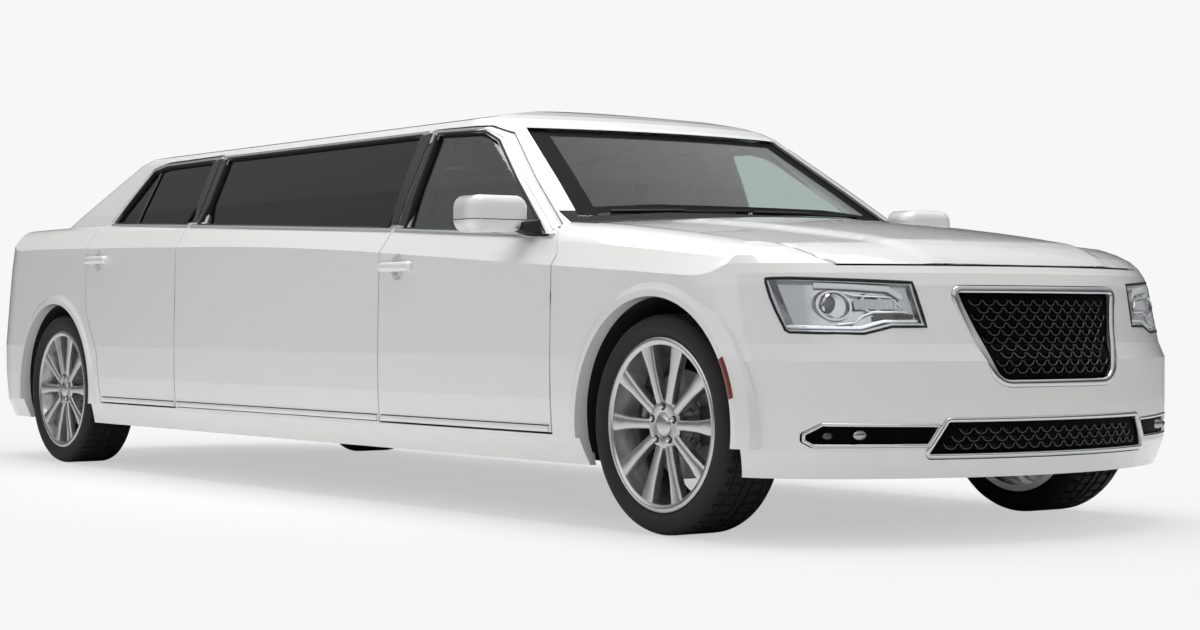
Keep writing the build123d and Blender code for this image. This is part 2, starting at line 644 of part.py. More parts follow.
well_r = BEAD_R - 34
barrel_points = [
    (BEAD_R, RIM_EDGE - 8),
    (BEAD_R, -RIM_EDGE + 8),
    (BEAD_R + 9, -RIM_EDGE + 8),
    (BEAD_R + 9, -RIM_EDGE),
    (BEAD_R - RIM_WALL, -RIM_EDGE),
    (BEAD_R - RIM_WALL - 4, RIM_EDGE - 40),
    (BEAD_R - RIM_WALL - 4, RIM_EDGE),
    (BEAD_R + 9, RIM_EDGE),
    (BEAD_R + 9, RIM_EDGE - 8),
]
barrel = revolve(make_face(Polyline(*[(r, y, 0) for r, y in barrel_points], close=True)), Axis.Y, 360)
hub = rod_y(0, 0, HUB_R, HUB_IN, HUB_OUT) + rod_y(0, 0, DISC_R, -DISC_T / 2, DISC_T / 2)
wheel = barrel + hub
spoke_points = [(HUB_R - 14, 17), (BEAD_R - RIM_WALL, 33), (BEAD_R - RIM_WALL, -33), (HUB_R - 14, -17)]
spoke_face = make_face(Polyline(*[(r, RIM_EDGE - 12 - SPOKE_T, w) for r, w in spoke_points], close=True))
spoke = extrude(spoke_face, SPOKE_T, dir=(0, 1, 0))
for i in range(SPOKES):
    wheel = wheel + Rot(0, i * 360 / SPOKES, 0) * spoke
wheel = wheel + rod_y(0, 0, HUB_R, HUB_OUT - 1, RIM_EDGE - 14)
wheel = wheel - rod_y(0, 0, SPINDLE_R + PIN_PLAY, HUB_IN - 1, HUB_OUT - 18)

for end, axle in (("front", FRONT_AXLE), ("rear", REAR_AXLE)):
    place = Pos(axle, HALF_TRACK, AXLE_Z)
    for kind, shape in (("tyre", tyre), ("rim", wheel)):
        left = place * shape
        save(f"{kind}_{end}_left", left)
        save(f"{kind}_{end}_right", other_side(left))

# Hub carriers: spindle, upright and caliper round the disc
SPINDLE_END = HALF_TRACK + HUB_OUT - 24
UPRIGHT_R = 24.0
UPRIGHT_H = 130.0
BALL_R = 10.0
ARM_T = 24.0
CALIPER_GAP = 6.0


def carrier(axle):
    part = rod_y(axle, AXLE_Z, SPINDLE_R, KINGPIN_Y, SPINDLE_END)
    part = part + rod_z(axle, KINGPIN_Y, UPRIGHT_R, AXLE_Z - UPRIGHT_H, AXLE_Z + UPRIGHT_H)
    disc_in = HALF_TRACK - DISC_T / 2 - CALIPER_GAP
    disc_out = HALF_TRACK + DISC_T / 2 + CALIPER_GAP
    caliper = box(axle + 105, axle + DISC_R + 28, disc_in - 24, disc_out + 12, AXLE_Z - 62, AXLE_Z + 62)
    caliper = caliper - rod_y(axle, AXLE_Z, DISC_R + CALIPER_GAP, disc_in, disc_out)
    bridge = box(axle, axle + 130, KINGPIN_Y - 12, KINGPIN_Y + 20, AXLE_Z - 30, AXLE_Z + 30)
    return part + bridge + caliper


knuckle = carrier(FRONT_AXLE)
for s in (1, -1):
    ball_z = AXLE_Z + s * (UPRIGHT_H + 13)
    knuckle = knuckle + rod_z(FRONT_AXLE, KINGPIN_Y, BALL_R, ball_z - 13, ball_z + 13)
save("knuckle_front_left", knuckle)
save("knuckle_front_right", other_side(knuckle))

# Front subframe with wishbones, engine, radiator
RAIL_Y0, RAIL_Y1, RAIL_H = 330.0, 400.0, 75.0
CROSS_TOP = SILL_Z + 30
RADIATOR_X = fx(560)
subframe = box(BAY_X + 5, fx(640), RAIL_Y0, RAIL_Y1, SILL_Z, SILL_Z + RAIL_H)
subframe = subframe + box(FIREWALL_X - 230, BAY_X + 60, RAIL_Y0, RAIL_Y1, SILL_Z - 30, SILL_Z)
subframe = subframe + box(fx(-60), fx(60), 0, RAIL_Y0 + 1, SILL_Z, CROSS_TOP)
subframe = subframe + box(fx(540), fx(640), 0, RAIL_Y0 + 1, SILL_Z, CROSS_TOP)
subframe = subframe + box(fx(-40), fx(40), RAIL_Y1 - 40, RAIL_Y1, SILL_Z + 1, AXLE_Z + UPRIGHT_H + ARM_T + 2)
for s in (1, -1):
    mid = AXLE_Z + s * (UPRIGHT_H + 1 + ARM_T / 2)
    arm = plan_prism(
        [(fx(-110), RAIL_Y1 - 30), (fx(110), RAIL_Y1 - 30), (fx(22), KINGPIN_Y), (fx(-22), KINGPIN_Y)],
        mid - ARM_T / 2,
        mid + ARM_T / 2,
    )
    arm = arm + rod_z(FRONT_AXLE, KINGPIN_Y, 26, mid - ARM_T / 2, mid + ARM_T / 2)
    arm = arm - rod_z(FRONT_AXLE, KINGPIN_Y, BALL_R + PIN_PLAY, mid - 40, mid + 40)
    subframe = subframe + arm
save("front_subframe", both(subframe))

engine = box(fx(-480), fx(300), -290, 290, CROSS_TOP, 780)
engine = chamfer(engine.edges().filter_by(Axis.X), 60)
save("engine_block", engine)
save("radiator", box(RADIATOR_X, RADIATOR_X + 45, -320, 320, CROSS_TOP, 770))

# Rear subframe with differential, half shafts and carriers
PROP_Z = 282.0
PROP_R = 34.0
rear_frame = box(rx(-170), rx(170), 0, 430, AXLE_Z + 20, BOOT_FLOOR_Z)
rear_frame = rear_frame + box(rx(-130), rx(150), 0, 110, PROP_Z - 60, AXLE_Z + 60)
rear_frame = rear_frame + rod_y(REAR_AXLE, AXLE_Z, 22, 0, KINGPIN_Y)
for s in (1, -1):
    z = AXLE_Z + s * 58
    rear_frame = rear_frame + plan_prism(
        [(rx(-120), 400), (rx(120), 400), (rx(30), KINGPIN_Y), (rx(-30), KINGPIN_Y)], z - 13, z + 13
    )
rear_frame = rear_frame + box(rx(-120), rx(120), 380, 430, AXLE_Z - 75, BOOT_FLOOR_Z)
rear_frame = rear_frame + carrier(REAR_AXLE)
save("rear_subframe", both(rear_frame))

save("driveline", rod_x(0, PROP_Z, PROP_R, rx(150), fx(-480)))
TANK_X0, TANK_X1 = rx(520), rx(1080)
tank = fillet(box(TANK_X0, TANK_X1, 130, 620, 150, SILL_Z).edges().filter_by(Axis.Z), 60)
save("fuel_tank", tank)
PIPE_R, TAIL_R_OUT = 22.0, 27.0
PIPE_Y = -250.0
PIPE_Z = SILL_Z - PIPE_R - 6
pipe = rod_x(PIPE_Y, PIPE_Z, PIPE_R, rx(-560), fx(-700))
for x0, x1, half, top in ((rx(560), rx(1100), 110, SILL_Z), (rx(-850), rx(-500), 140, SILL_Z + 60)):
    can = box(x0, x1, PIPE_Y - half, PIPE_Y + half, 152, top)
    pipe = pipe + fillet(can.edges().filter_by(Axis.X), 18)
for x in (fx(-1000), fx(-2000), rx(1300)):
    pipe = pipe + box(x - 20, x + 20, PIPE_Y - 12, PIPE_Y + 12, PIPE_Z, SILL_Z)
tail_z = SILL_Z - TAIL_R_OUT - 2
pipe = pipe + rod_x(PIPE_Y, tail_z, TAIL_R_OUT, REAR_X + 40, rx(-840))
pipe = pipe - rod_x(PIPE_Y, tail_z, TAIL_R_OUT - 4, REAR_X, rx(-860))
save("exhaust", pipe)

# Cabin furniture, right-hand drive
DASH_BACK = fx(-960)
dash_points = [
    (FIREWALL_X, 620),
    (FIREWALL_X, DASH_Z - 25),
    (fx(-800), DASH_Z - 25),
    (DASH_BACK, 930),
    (DASH_BACK + 20, 760),
    (fx(-830), 620),
]
dashboard = side_prism(dash_points, -790, 790)
save("dashboard", dashboard)

WHEEL_R, WHEEL_TUBE = 182.0, 15.0
DRIVER_Y = -385.0
WHEEL_X, WHEEL_Z, WHEEL_TILT = DASH_BACK - 130, 900.0, 26.0
tube = [(WHEEL_R + WHEEL_TUBE * cos(k * pi / 4), 0, WHEEL_TUBE * sin(k * pi / 4)) for k in range(8)]
steering = revolve(make_face(Polyline(*tube, close=True)), Axis.Z, 360) + Cylinder(55, 40)
for angle in (0, 180, 270):
    steering = steering + Rot(0, 0, angle) * (Pos(WHEEL_R / 2, 0, 0) * Box(WHEEL_R, 34, 16))
steering = steering + Pos(0, 0, 80) * Cylinder(32, 160)
steering = Pos(WHEEL_X, DRIVER_Y, WHEEL_Z) * Rot(0, 90 - WHEEL_TILT, 0) * steering
save("steering_wheel", steering - dashboard)

SEAT_W = 520.0
seats = []
for y in (DRIVER_Y, -DRIVER_Y):
    x0 = fx(-1600)
    base = box(x0 + 60, x0 + 480, y - 200, y + 200, FLOOR_TOP, 370)
    cushion = box(x0, x0 + 540, y - SEAT_W / 2, y + SEAT_W / 2, 370, 520)
    back_points = [(x0, 380), (x0 + 130, 380), (x0 + 10, 1050), (x0 - 90, 1050)]
    back = side_prism(back_points, y - SEAT_W / 2, y + SEAT_W / 2)
    rest_pad = box(x0 - 100, x0 - 5, y - 130, y + 130, 1070, 1240)
    stalks = rod_z(x0 - 45, y - 60, 9, 1040, 1080) + rod_z(x0 - 45, y + 60, 9, 1040, 1080)
    seats.append(base + cushion + back + rest_pad + stalks)
save("front_seats", *seats)

BENCH_X = REAR_WALL_X
bench = box(BENCH_X, BENCH_X + 620, -780, 780, FLOOR_TOP, 500) - channel - tunnel
bench_back = [(BENCH_X, 500), (BENCH_X + 170, 500), (BENCH_X + 90, 1040), (BENCH_X, 1040)]
bench = bench + side_prism(bench_back, -780, 780)
sofa = box(BENCH_X + 640, fx(-2300), 300, 780, FLOOR_TOP, 500)
sofa = sofa + box(BENCH_X + 640, fx(-2300), 680, 780, 500, 960)
save("lounge_seat", bench & box(REAR_X, FRONT_X, -FLOOR_Y, FLOOR_Y, 0, FAR))
save("side_sofa", sofa & box(REAR_X, FRONT_X, -FLOOR_Y, FLOOR_Y, 0, FAR))

# Door mirrors
mirror_head = box(fx(-885), fx(-752), 892, 1122, 985, 1112)
mirror_head = fillet(mirror_head.edges().filter_by(Axis.X), 44)
mirror_head = fillet(mirror_head.faces().sort_by(Axis.X)[-1].edges(), 34)
foot = box(fx(-812), fx(-722), 850, 950, 958, 997) - outer
mirror_left = mirror_head + foot
save("mirror_left", mirror_left)
save("mirror_right", other_side(mirror_left))
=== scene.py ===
"""Looks for a white stretched saloon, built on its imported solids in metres: +X forward, +Y left, +Z up."""

import logging
import math
from dataclasses import dataclass, field, replace
from enum import Enum
from typing import Callable, Dict, Iterable, List, Optional, Sequence, Tuple, Union

import bmesh
import bpy
from mathutils import Matrix, Vector
from mathutils.bvhtree import BVHTree


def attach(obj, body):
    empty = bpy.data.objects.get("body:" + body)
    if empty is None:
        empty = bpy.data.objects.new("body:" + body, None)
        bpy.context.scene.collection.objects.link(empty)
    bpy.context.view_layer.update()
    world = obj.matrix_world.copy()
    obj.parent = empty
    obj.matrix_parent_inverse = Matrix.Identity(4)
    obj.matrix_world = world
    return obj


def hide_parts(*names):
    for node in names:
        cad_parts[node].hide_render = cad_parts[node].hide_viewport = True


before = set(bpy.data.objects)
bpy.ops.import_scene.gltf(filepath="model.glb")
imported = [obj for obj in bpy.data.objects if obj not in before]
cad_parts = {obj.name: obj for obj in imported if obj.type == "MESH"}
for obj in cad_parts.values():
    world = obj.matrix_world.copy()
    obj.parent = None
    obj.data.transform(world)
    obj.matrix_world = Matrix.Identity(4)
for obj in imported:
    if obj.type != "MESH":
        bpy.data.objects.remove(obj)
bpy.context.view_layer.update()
LOG = logging.getLogger("saloon")

Point = Tuple[float, float, float]
Pair = Tuple[float, float]
Line = Tuple[Pair, ...]
Hit = Tuple[Vector, Vector]
Key = Union[str, int]

MM_PER_M = 1000
CHASSIS = "chassis"
WHEEL_RADIUS = 0.352
# Points nearer than these are one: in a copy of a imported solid, and in a turned shape.
NODE_WELD, TURN_WELD = 2e-5, 1e-6


class Named(Enum):
    """A choice that the node names spell out."""

    @property
    def word(self) -> str:
        """The choice as the node names spell it."""
        return self.name.lower()


class Side(Named):
    """Left or right of the car, as the sign of Y."""

    LEFT = 1
    RIGHT = -1


class End(Named):
    """Front or rear axle, as its place along the car."""

    FRONT = 2.430
    REAR = -2.300


class Axis(Enum):
    """Direction of a seat's channels, as the coordinate that counts them."""

    X = 0
    Y = 1


class Slot(Enum):
    """The record's slots, passed along with some pieces but not read here."""

    PAINT = "body_paint"
    BRIGHT = "bright_trim"
    BLACK = "grille_black"
    TAIL = "tail_lens"
    LENS = "lamp_lens"
    REFLECTOR = "lamp_reflector"
    TYRE = "tyre"
    ALLOY = "alloy"
    METAL = "cast_metal"
    DASH = "dash_plastic"
    LEATHER = "seat_leather"


def linear(code: str) -> Tuple[float, float, float, float]:
    """Turn an sRGB hex colour into linear values.

    Args:
        code: Colour such as "#f2f2f0".

    Returns:
        Red, green, blue and alpha, linear.
    """
    parts = [int(code[i : i + 2], 16) / 255 for i in (1, 3, 5)]
    values = [p / 12.92 if p <= 0.04045 else ((p + 0.055) / 1.055) ** 2.4 for p in parts]
    return (values[0], values[1], values[2], 1.0)


def add_node(
    tree: bpy.types.NodeTree,
    kind: str,
    settings: Optional[Dict[Key, object]] = None,
    links: Optional[Dict[Key, bpy.types.NodeSocket]] = None,
) -> bpy.types.Node:
    """Add a shader node, set its properties and input sockets, and link it.

    Args:
        tree: Node tree of the material.
        kind: Node type name.
        settings: Values for properties, or for input sockets by name or number.
        links: Output sockets that feed input sockets, by name or number.

    Returns:
        The new node.
    """
    made = tree.nodes.new(kind)
    for name, value in (settings or {}).items():
        if isinstance(name, int) or name in made.inputs:
            made.inputs[name].default_value = value
        else:
            setattr(made, name, value)
    for name, source in (links or {}).items():
        tree.links.new(source, made.inputs[name])
    return made


@dataclass(frozen=True)
class Finish:
    """A surface finish: its colour, shader values, and one fine relief pattern.

    The relief is noise at a real grain size in millimetres, seen as bump and as a
    slight change of roughness and of tone.
    """

    name: str
    colour: str
    roughness: float
    metallic: float = 0.0
    ior: float = 1.5
    coat: float = 0.0
    coat_roughness: float = 0.03
    transmission: float = 0.0
    grain_mm: float = 3.0
    bump_mm: float = 0.02
    tone: float = 0.04
    rough_swing: float = 0.04

    def build(self) -> bpy.types.Material:
        """Make the material, once.

        Returns:
            The material of this finish.
        """
        found = bpy.data.materials.get(self.name)
        if found:
            return found
        made = bpy.data.materials.new(self.name)
        made.use_nodes = True
        tree = made.node_tree
        sockets = tree.nodes["Principled BSDF"].inputs
        base = linear(self.colour)
        values = {
            "Base Color": base,
            "Roughness": self.roughness,
            "Metallic": self.metallic,
            "Coat Weight": self.coat,
            "Coat Roughness": self.coat_roughness,
            "Transmission Weight": self.transmission,
        }
        if not self.metallic:
            values["IOR"] = self.ior
        for name, value in values.items():
            sockets[name].default_value = value
        if not (self.tone or self.rough_swing or self.bump_mm):
            return made
        place = add_node(tree, "ShaderNodeTexCoord").outputs["Object"]
        pattern = {"Scale": MM_PER_M / self.grain_mm, "Detail": 2.0, "Roughness": 0.5}
        grain = add_node(tree, "ShaderNodeTexNoise", pattern, {"Vector": place}).outputs["Fac"]
        if self.tone:
            low = tuple(c * (1 - self.tone) for c in base[:3]) + (1.0,)
            tone = add_node(tree, "ShaderNodeMix", {"data_type": "RGBA", 6: low, 7: base}, {0: grain})
            tree.links.new(tone.outputs[2], sockets["Base Color"])
        if self.rough_swing:
            least = max(0.0, self.roughness - self.rough_swing)
            ends = {"To Min": least, "To Max": self.roughness + self.rough_swing}
            rough = add_node(tree, "ShaderNodeMapRange", ends, {"Value": grain})
            tree.links.new(rough.outputs["Result"], sockets["Roughness"])
        if self.bump_mm:
            depth = {"Distance": self.bump_mm / MM_PER_M, "Strength": 1.0}
            bump = add_node(tree, "ShaderNodeBump", depth, {"Height": grain})
            tree.links.new(bump.outputs["Normal"], sockets["Normal"])
        return made


# Two-coat solid white on pressed steel: even colour under a hard clear coat, with a faint orange peel.
WHITE_PAINT = Finish(
    "white_two_coat_paint", "#efefee", 0.32, coat=1.0, grain_mm=4, bump_mm=0.004, tone=0.01, rough_swing=0.02
)
# Chromed trim: bright, sharp reflections.
CHROME = Finish(
    "chromed_trim", "#d9dbdd", 0.08, metallic=1.0, grain_mm=20, bump_mm=0.0, tone=0.02, rough_swing=0.02
)
# Painted silver cast alloy: bright, with a fine metal flake.
SILVER_ALLOY = Finish(
    "silver_lacquered_alloy", "#c9cacb", 0.24, metallic=0.9, coat=0.6, grain_mm=0.8, bump_mm=0.003, tone=0.05
)
# Moulded gloss black ABS of pillar covers and a lamp strip: deep black with sharp reflections.
GLOSS_BLACK = Finish("gloss_black_abs", "#0c0c0d", 0.14, coat=0.5, grain_mm=6, bump_mm=0.003, tone=0.05)
# Moulded matt black, as on the mesh plate and the printed band of the windscreen: hardly a reflection.
MATT_BLACK = Finish("matt_black_abs", "#040404", 0.5, ior=1.12, grain_mm=1.2, bump_mm=0.02, tone=0.1)
# Satin lips of the mesh, brighter than the plate: raised lower rims whose lighter grey is painted highlight,
# the light that falls on them.
LIP_HIGHLIGHT_GREY = Finish("satin_grey_abs", "#5a5c5e", 0.25, metallic=0.5, grain_mm=2, bump_mm=0.004, tone=0.05)
# Grained black polypropylene of wipers and mirror feet: matt, with a leathery grain. It also gives the dark
# discs round the wheel nuts, painted shade for the recesses the nuts sit in.
GRAINED_BLACK = Finish("grained_black_polypropylene", "#161617", 0.62, grain_mm=1.4, bump_mm=0.06, tone=0.15)
# EPDM seal rubber, matt.
SEAL_RUBBER = Finish("seal_rubber", "#101011", 0.7, grain_mm=1.0, bump_mm=0.02, tone=0.1)
# Tyre rubber with carbon black, slightly worn: dull and very dark grey.
TYRE_RUBBER = Finish("tyre_rubber", "#1b1b1c", 0.72, grain_mm=1.8, bump_mm=0.05, tone=0.2)
# Stone-chip underseal sprayed on steel: dull, dark and pebbled.
UNDERSEAL = Finish("sprayed_underseal", "#141414", 0.85, grain_mm=5, bump_mm=0.4, tone=0.25)
# Cast iron and forged steel of hubs, arms and engine: dull grey with a sandy grain.
CAST_IRON = Finish("cast_iron", "#4a4a4b", 0.55, metallic=0.7, grain_mm=2.5, bump_mm=0.08, tone=0.2)
# Aluminised exhaust steel: a soft grey shine.
EXHAUST_STEEL = Finish(
    "aluminised_steel", "#8b8a86", 0.38, metallic=1.0, grain_mm=4, bump_mm=0.02, tone=0.12
)
# Float glass, laminated and tinted: clear, with a trace of green.
CLEAR_GLASS = Finish(
    "tinted_glass",
    "#cad6d1",
    0.02,
    transmission=1.0,
    ior=1.45,
    grain_mm=60,
    bump_mm=0,
    tone=0.01,
    rough_swing=0,
)
# Privacy glass, dyed in the mass: so dark that the cabin hardly shows.
DARK_GLASS = Finish(
    "privacy_glass", "#1d1f20", 0.03, transmission=0.75, grain_mm=60, bump_mm=0, tone=0.01, rough_swing=0
)
# Polycarbonate lamp cover: clear all through, so it has no grain.
LAMP_COVER = Finish(
    "polycarbonate_cover", "#f4f6f7", 0.02, transmission=1.0, ior=1.35, bump_mm=0, tone=0, rough_swing=0
)
# Vapour-coated lamp bowl: a soft mirror.
LAMP_BOWL = Finish("coated_lamp_bowl", "#b9bbbd", 0.18, metallic=0.9, grain_mm=8, bump_mm=0.01, tone=0.1)
# Moulded red acrylic of tail lamps and reflectors: deep red under a gloss.
RED_ACRYLIC = Finish("red_acrylic", "#7d0d0d", 0.1, coat=0.5, grain_mm=3, bump_mm=0.05, tone=0.15)
# Moulded amber acrylic of the front side markers: brown when unlit.
AMBER_ACRYLIC = Finish("amber_acrylic", "#7a3a2c", 0.14, coat=0.5, grain_mm=3, bump_mm=0.05, tone=0.15)
# Disc face ground by the pads: bright, with a fine grain.
GROUND_STEEL = Finish("ground_steel", "#8e8f90", 0.32, metallic=1.0, grain_mm=1.5, bump_mm=0.01, tone=0.1)
# Pressed lens glass of the projectors: dark inside, with a sharp highlight.
LENS_GLASS = Finish(
    "pressed_lens_glass", "#3c4145", 0.04, coat=1.0, grain_mm=40, bump_mm=0, tone=0.05, rough_swing=0
)
# Moulded opal light guide, unlit: an even soft white.
WHITE_LIGHT = Finish("opal_light_guide", "#eef0f1", 0.25, grain_mm=5, bump_mm=0.02, tone=0.05)
# Moulded soft-touch dashboard skin: dull and finely grained.
DASH_SKIN = Finish("moulded_dash_skin", "#252628", 0.6, grain_mm=1.2, bump_mm=0.05, tone=0.15)
# Dyed black hide: a low sheen over a fine pore grain.
BLACK_HIDE = Finish("black_leather", "#26262a", 0.48, grain_mm=1.6, bump_mm=0.12, tone=0.2)


def both(stem: str) -> Tuple[str, str]:
    """Names of a node on the left and on the right."""
    return (f"{stem}_left", f"{stem}_right")


NODE_FINISHES: Dict[Finish, Tuple[str, ...]] = {
    WHITE_PAINT: (
        *both("body_side"),
        *both("fender"),
        *both("door_front"),
        *both("door_rear"),
        *both("mirror"),
        "roof_panel",
        "front_bumper",
        "rear_bumper",
        "boot_lid",
    ),
    UNDERSEAL: ("floor_pan", "firewall", "rear_bulkhead", "wheel_arch_liners", "fuel_tank"),
    GRAINED_BLACK: ("radiator",),
    CLEAR_GLASS: ("windscreen", *both("glass_front")),
    DARK_GLASS: ("privacy_glass", *both("glass_rear")),
    CAST_IRON: (*both("knuckle_front"), "front_subframe", "rear_subframe", "engine_block", "driveline"),
    EXHAUST_STEEL: ("exhaust",),
    DASH_SKIN: ("dashboard", "steering_wheel"),
    LAMP_BOWL: ("front_lamps",),
    LAMP_COVER: ("front_lamp_lenses",),
    RED_ACRYLIC: ("tail_lamps",),
    MATT_BLACK: ("grilles",),
}


def make_piece(
    work: bmesh.types.BMesh, name: str, body: str, finish: Finish, smooth_deg: float = 35.0
) -> bpy.types.Object:
    """Turn a bmesh into a named piece that rides on a body.

    Args:
        work: Finished bmesh, which is freed.
        name: Piece name.
        body: Body it moves with.
        finish: Its finish.
        smooth_deg: Edges sharper than this stay sharp.

    Returns:
        The new object.
    """
    bmesh.ops.recalc_face_normals(work, faces=work.faces)
    mesh = bpy.data.meshes.new(name)
    work.to_mesh(mesh)
    work.free()
    mesh.materials.append(finish.build())
    for face in mesh.polygons:
        face.use_smooth = True
    mesh.set_sharp_from_angle(angle=math.radians(smooth_deg))
    made = bpy.data.objects.new(name, mesh)
    bpy.context.scene.collection.objects.link(made)
    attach(made, body)
    LOG.info("piece %s on %s", name, body)
    return made


def node_copy(node: str) -> bmesh.types.BMesh:
    """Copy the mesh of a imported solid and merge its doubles.

    Args:
        node: Name of the solid.

    Returns:
        The copy.
    """
    work = bmesh.new()
    work.from_mesh(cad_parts[node].data)
    bmesh.ops.remove_doubles(work, verts=work.verts, dist=NODE_WELD)
    return work


def drop_normals(made: bpy.types.Object) -> None:
    """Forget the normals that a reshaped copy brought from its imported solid.

    Args:
        made: The piece made from the copy.
    """
    old = made.data.attributes.get("custom_normal")
    if old:
        made.data.attributes.remove(old)


def box(work: bmesh.types.BMesh, middle: Point, size: Point, lean_deg: float = 0.0) -> None:
    """Add a block.

    Args:
        work: Bmesh to add to.
        middle: Its middle.
        size: Its size along X, Y and Z.
        lean_deg: Its lean about Y.
    """
    turn = Matrix.Rotation(math.radians(lean_deg), 4, "Y")
    place = Matrix.Translation(middle) @ turn @ Matrix.Diagonal((*size, 1))
    bmesh.ops.create_cube(work, size=1.0, matrix=place)


def soften(
    work: bmesh.types.BMesh,
    offset: float,
    segments: int,
    edges: Optional[Iterable[bmesh.types.BMEdge]] = None,
) -> None:
    """Round the edges of a shape.

    Args:
        work: Bmesh to work on.
        offset: How far from an edge the rounding starts.
        segments: Steps of the rounding.
        edges: The edges to round, or all of them.
    """
    bmesh.ops.bevel(
        work,
        geom=list(work.edges if edges is None else edges),
        offset=offset,
        offset_type="OFFSET",
        affect="EDGES",
        segments=segments,
        profile=0.5,
        material=-1,
    )


def turned(points: Sequence[Point], axis: Point, steps: int, loop: bool = False) -> bmesh.types.BMesh:
    """Spin a line of points right round an axis through the origin.

    Args:
        points: The line.
        axis: Direction of the axis.
        steps: Number of steps round.
        loop: Whether the line closes on itself.

    Returns:
        The turned shape.
    """
    work = bmesh.new()
    verts = [work.verts.new(p) for p in points]
    pairs = list(zip(verts, verts[1:])) + ([(verts[-1], verts[0])] if loop else [])
    line = verts + [work.edges.new(p) for p in pairs]
    bmesh.ops.spin(work, geom=line, axis=axis, cent=(0, 0, 0), angle=math.tau, steps=steps, use_merge=True)
    bmesh.ops.remove_doubles(work, verts=work.verts, dist=TURN_WELD)
    bmesh.ops.recalc_face_normals(work, faces=work.faces)
    return work


def plate(
    counts: Tuple[int, int], spot: Callable[[float, float], Vector], thickness: float
) -> bmesh.types.BMesh:
    """Lay a grid on a surface and give it a thickness.

    Args:
        counts: Steps each way.
        spot: Gives the place of a point from its shares of the two ways, 0 to 1.
        thickness: Thickness of the plate.

    Returns:
        The plate.
    """
    work = bmesh.new()
    bmesh.ops.create_grid(work, x_segments=counts[0], y_segments=counts[1], size=0.5)
    for vert in work.verts:
        vert.co = spot(vert.co.x + 0.5, vert.co.y + 0.5)
    bmesh.ops.recalc_face_normals(work, faces=work.faces)
    bmesh.ops.solidify(work, geom=list(work.faces), thickness=thickness)
    return work


def sweep(
    work: bmesh.types.BMesh, stations: Sequence[Matrix], profile: Sequence[Pair], loop: bool = False
) -> None:
    """Extrude a closed profile from station to station.

    Args:
        work: Bmesh to add to.
        stations: Frames along the path: X along it, Y outwards, Z across.
        profile: Outline as pairs of outward and across distances.
        loop: Whether the last station joins the first.
    """
    verts = [work.verts.new(stations[0] @ Vector((0, u, v))) for u, v in profile]
    edges = [work.edges.new((a, b)) for a, b in zip(verts, verts[1:] + verts[:1])]
    first = list(edges)
    for before, after in zip(stations, stations[1:]):
        grown_on = bmesh.ops.extrude_edge_only(work, edges=edges)["geom"]
        edges = [g for g in grown_on if isinstance(g, bmesh.types.BMEdge)]
        moved = [g for g in grown_on if isinstance(g, bmesh.types.BMVert)]
        bmesh.ops.transform(work, matrix=after @ before.inverted(), verts=moved)
    if loop:
        bmesh.ops.bridge_loops(work, edges=first + edges)
    else:
        bmesh.ops.contextual_create(work, geom=first)
        bmesh.ops.contextual_create(work, geom=edges)


@dataclass
class Skin:
    """Outer surface of some solids, for seating trim on it.

    A ray starts clear of the car: that far ahead or behind, beside, and above it. One that
    misses takes the place nearest to a point some way along it.
    """

    nodes: Tuple[str, ...]
    clear: Point = (4.2, 1.5, 3.0)
    missed: float = 0.6
    tree: BVHTree = field(init=False)

    def __post_init__(self) -> None:
        """Gather the triangles of the nodes."""
        points: List[Vector] = []
        faces: List[Tuple[int, ...]] = []
        for node in self.nodes:
            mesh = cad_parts[node].data
            start = len(points)
            points += [v.co.copy() for v in mesh.vertices]
            faces += [tuple(start + i for i in f.vertices) for f in mesh.polygons]
        self.tree = BVHTree.FromPolygons(points, faces)

    def hit(self, start: Vector, way: Vector) -> Hit:
        """Find where a ray meets the surface.

        Args:
            start: Point outside the car.
            way: Direction of the ray.

        Returns:
            The point met and the outward normal there.
        """
        spot, normal, _, _ = self.tree.ray_cast(start, way)
        if spot is None:
            spot, normal, _, _ = self.tree.find_nearest(start + way * self.missed)
        return spot, -normal if normal.dot(way) > 0 else normal

    def side(self, x: float, z: float, side: Side) -> Hit:
        """Meet the flank at a place seen from the side."""
        return self.hit(Vector((x, self.clear[1] * side.value, z)), Vector((0, -side.value, 0)))

    def nose(self, y: float, z: float) -> Hit:
        """Meet the nose at a place seen from the front."""
        return self.hit(Vector((self.clear[0], y, z)), Vector((-1, 0, 0)))

    def tail(self, y: float, z: float) -> Hit:
        """Meet the tail at a place seen from behind."""
        return self.hit(Vector((-self.clear[0], y, z)), Vector((1, 0, 0)))

    def top(self, x: float, y: float) -> Hit:
        """Meet the top at a place seen from above."""
        return self.hit(Vector((x, y, self.clear[2])), Vector((0, 0, -1)))


def spaced(points: Sequence[Pair], step: float, loop: bool = False) -> List[Pair]:
    """Divide a polyline into steps of about one length.

    Args:
        points: Corners of the line.
        step: Length of a step.
        loop: Whether the line closes.

    Returns:
        The corners and the places between them.
    """
    ends = list(points) + ([points[0]] if loop else [])
    found: List[Pair] = []
    for a, b in zip(ends, ends[1:]):
        count = max(1, round(math.dist(a, b) / step))
        found += [(a[0] + (b[0] - a[0]) * i / count, a[1] + (b[1] - a[1]) * i / count) for i in range(count)]
    return found if loop else found + [ends[-1]]


def stations_along(hits: Sequence[Hit], loop: bool = False) -> List[Matrix]:
    """Frames along a line of surface points.

    Args:
        hits: Points and their outward normals.
        loop: Whether the line closes.

    Returns:
        One frame a point: X along the line, Y outwards, Z across.
    """
    made = []
    last = len(hits) - 1
    for i, (spot, normal) in enumerate(hits):
        before = hits[i - 1][0] if i > 0 or loop else spot
        after = hits[(i + 1) % len(hits)][0] if i < last or loop else spot
        along = (after - before).normalized()
        out = (normal - along * normal.dot(along)).normalized()
        across = along.cross(out)
        turn = Matrix((along, out, across)).transposed().to_4x4()
        made.append(Matrix.Translation(spot) @ turn)
    return made


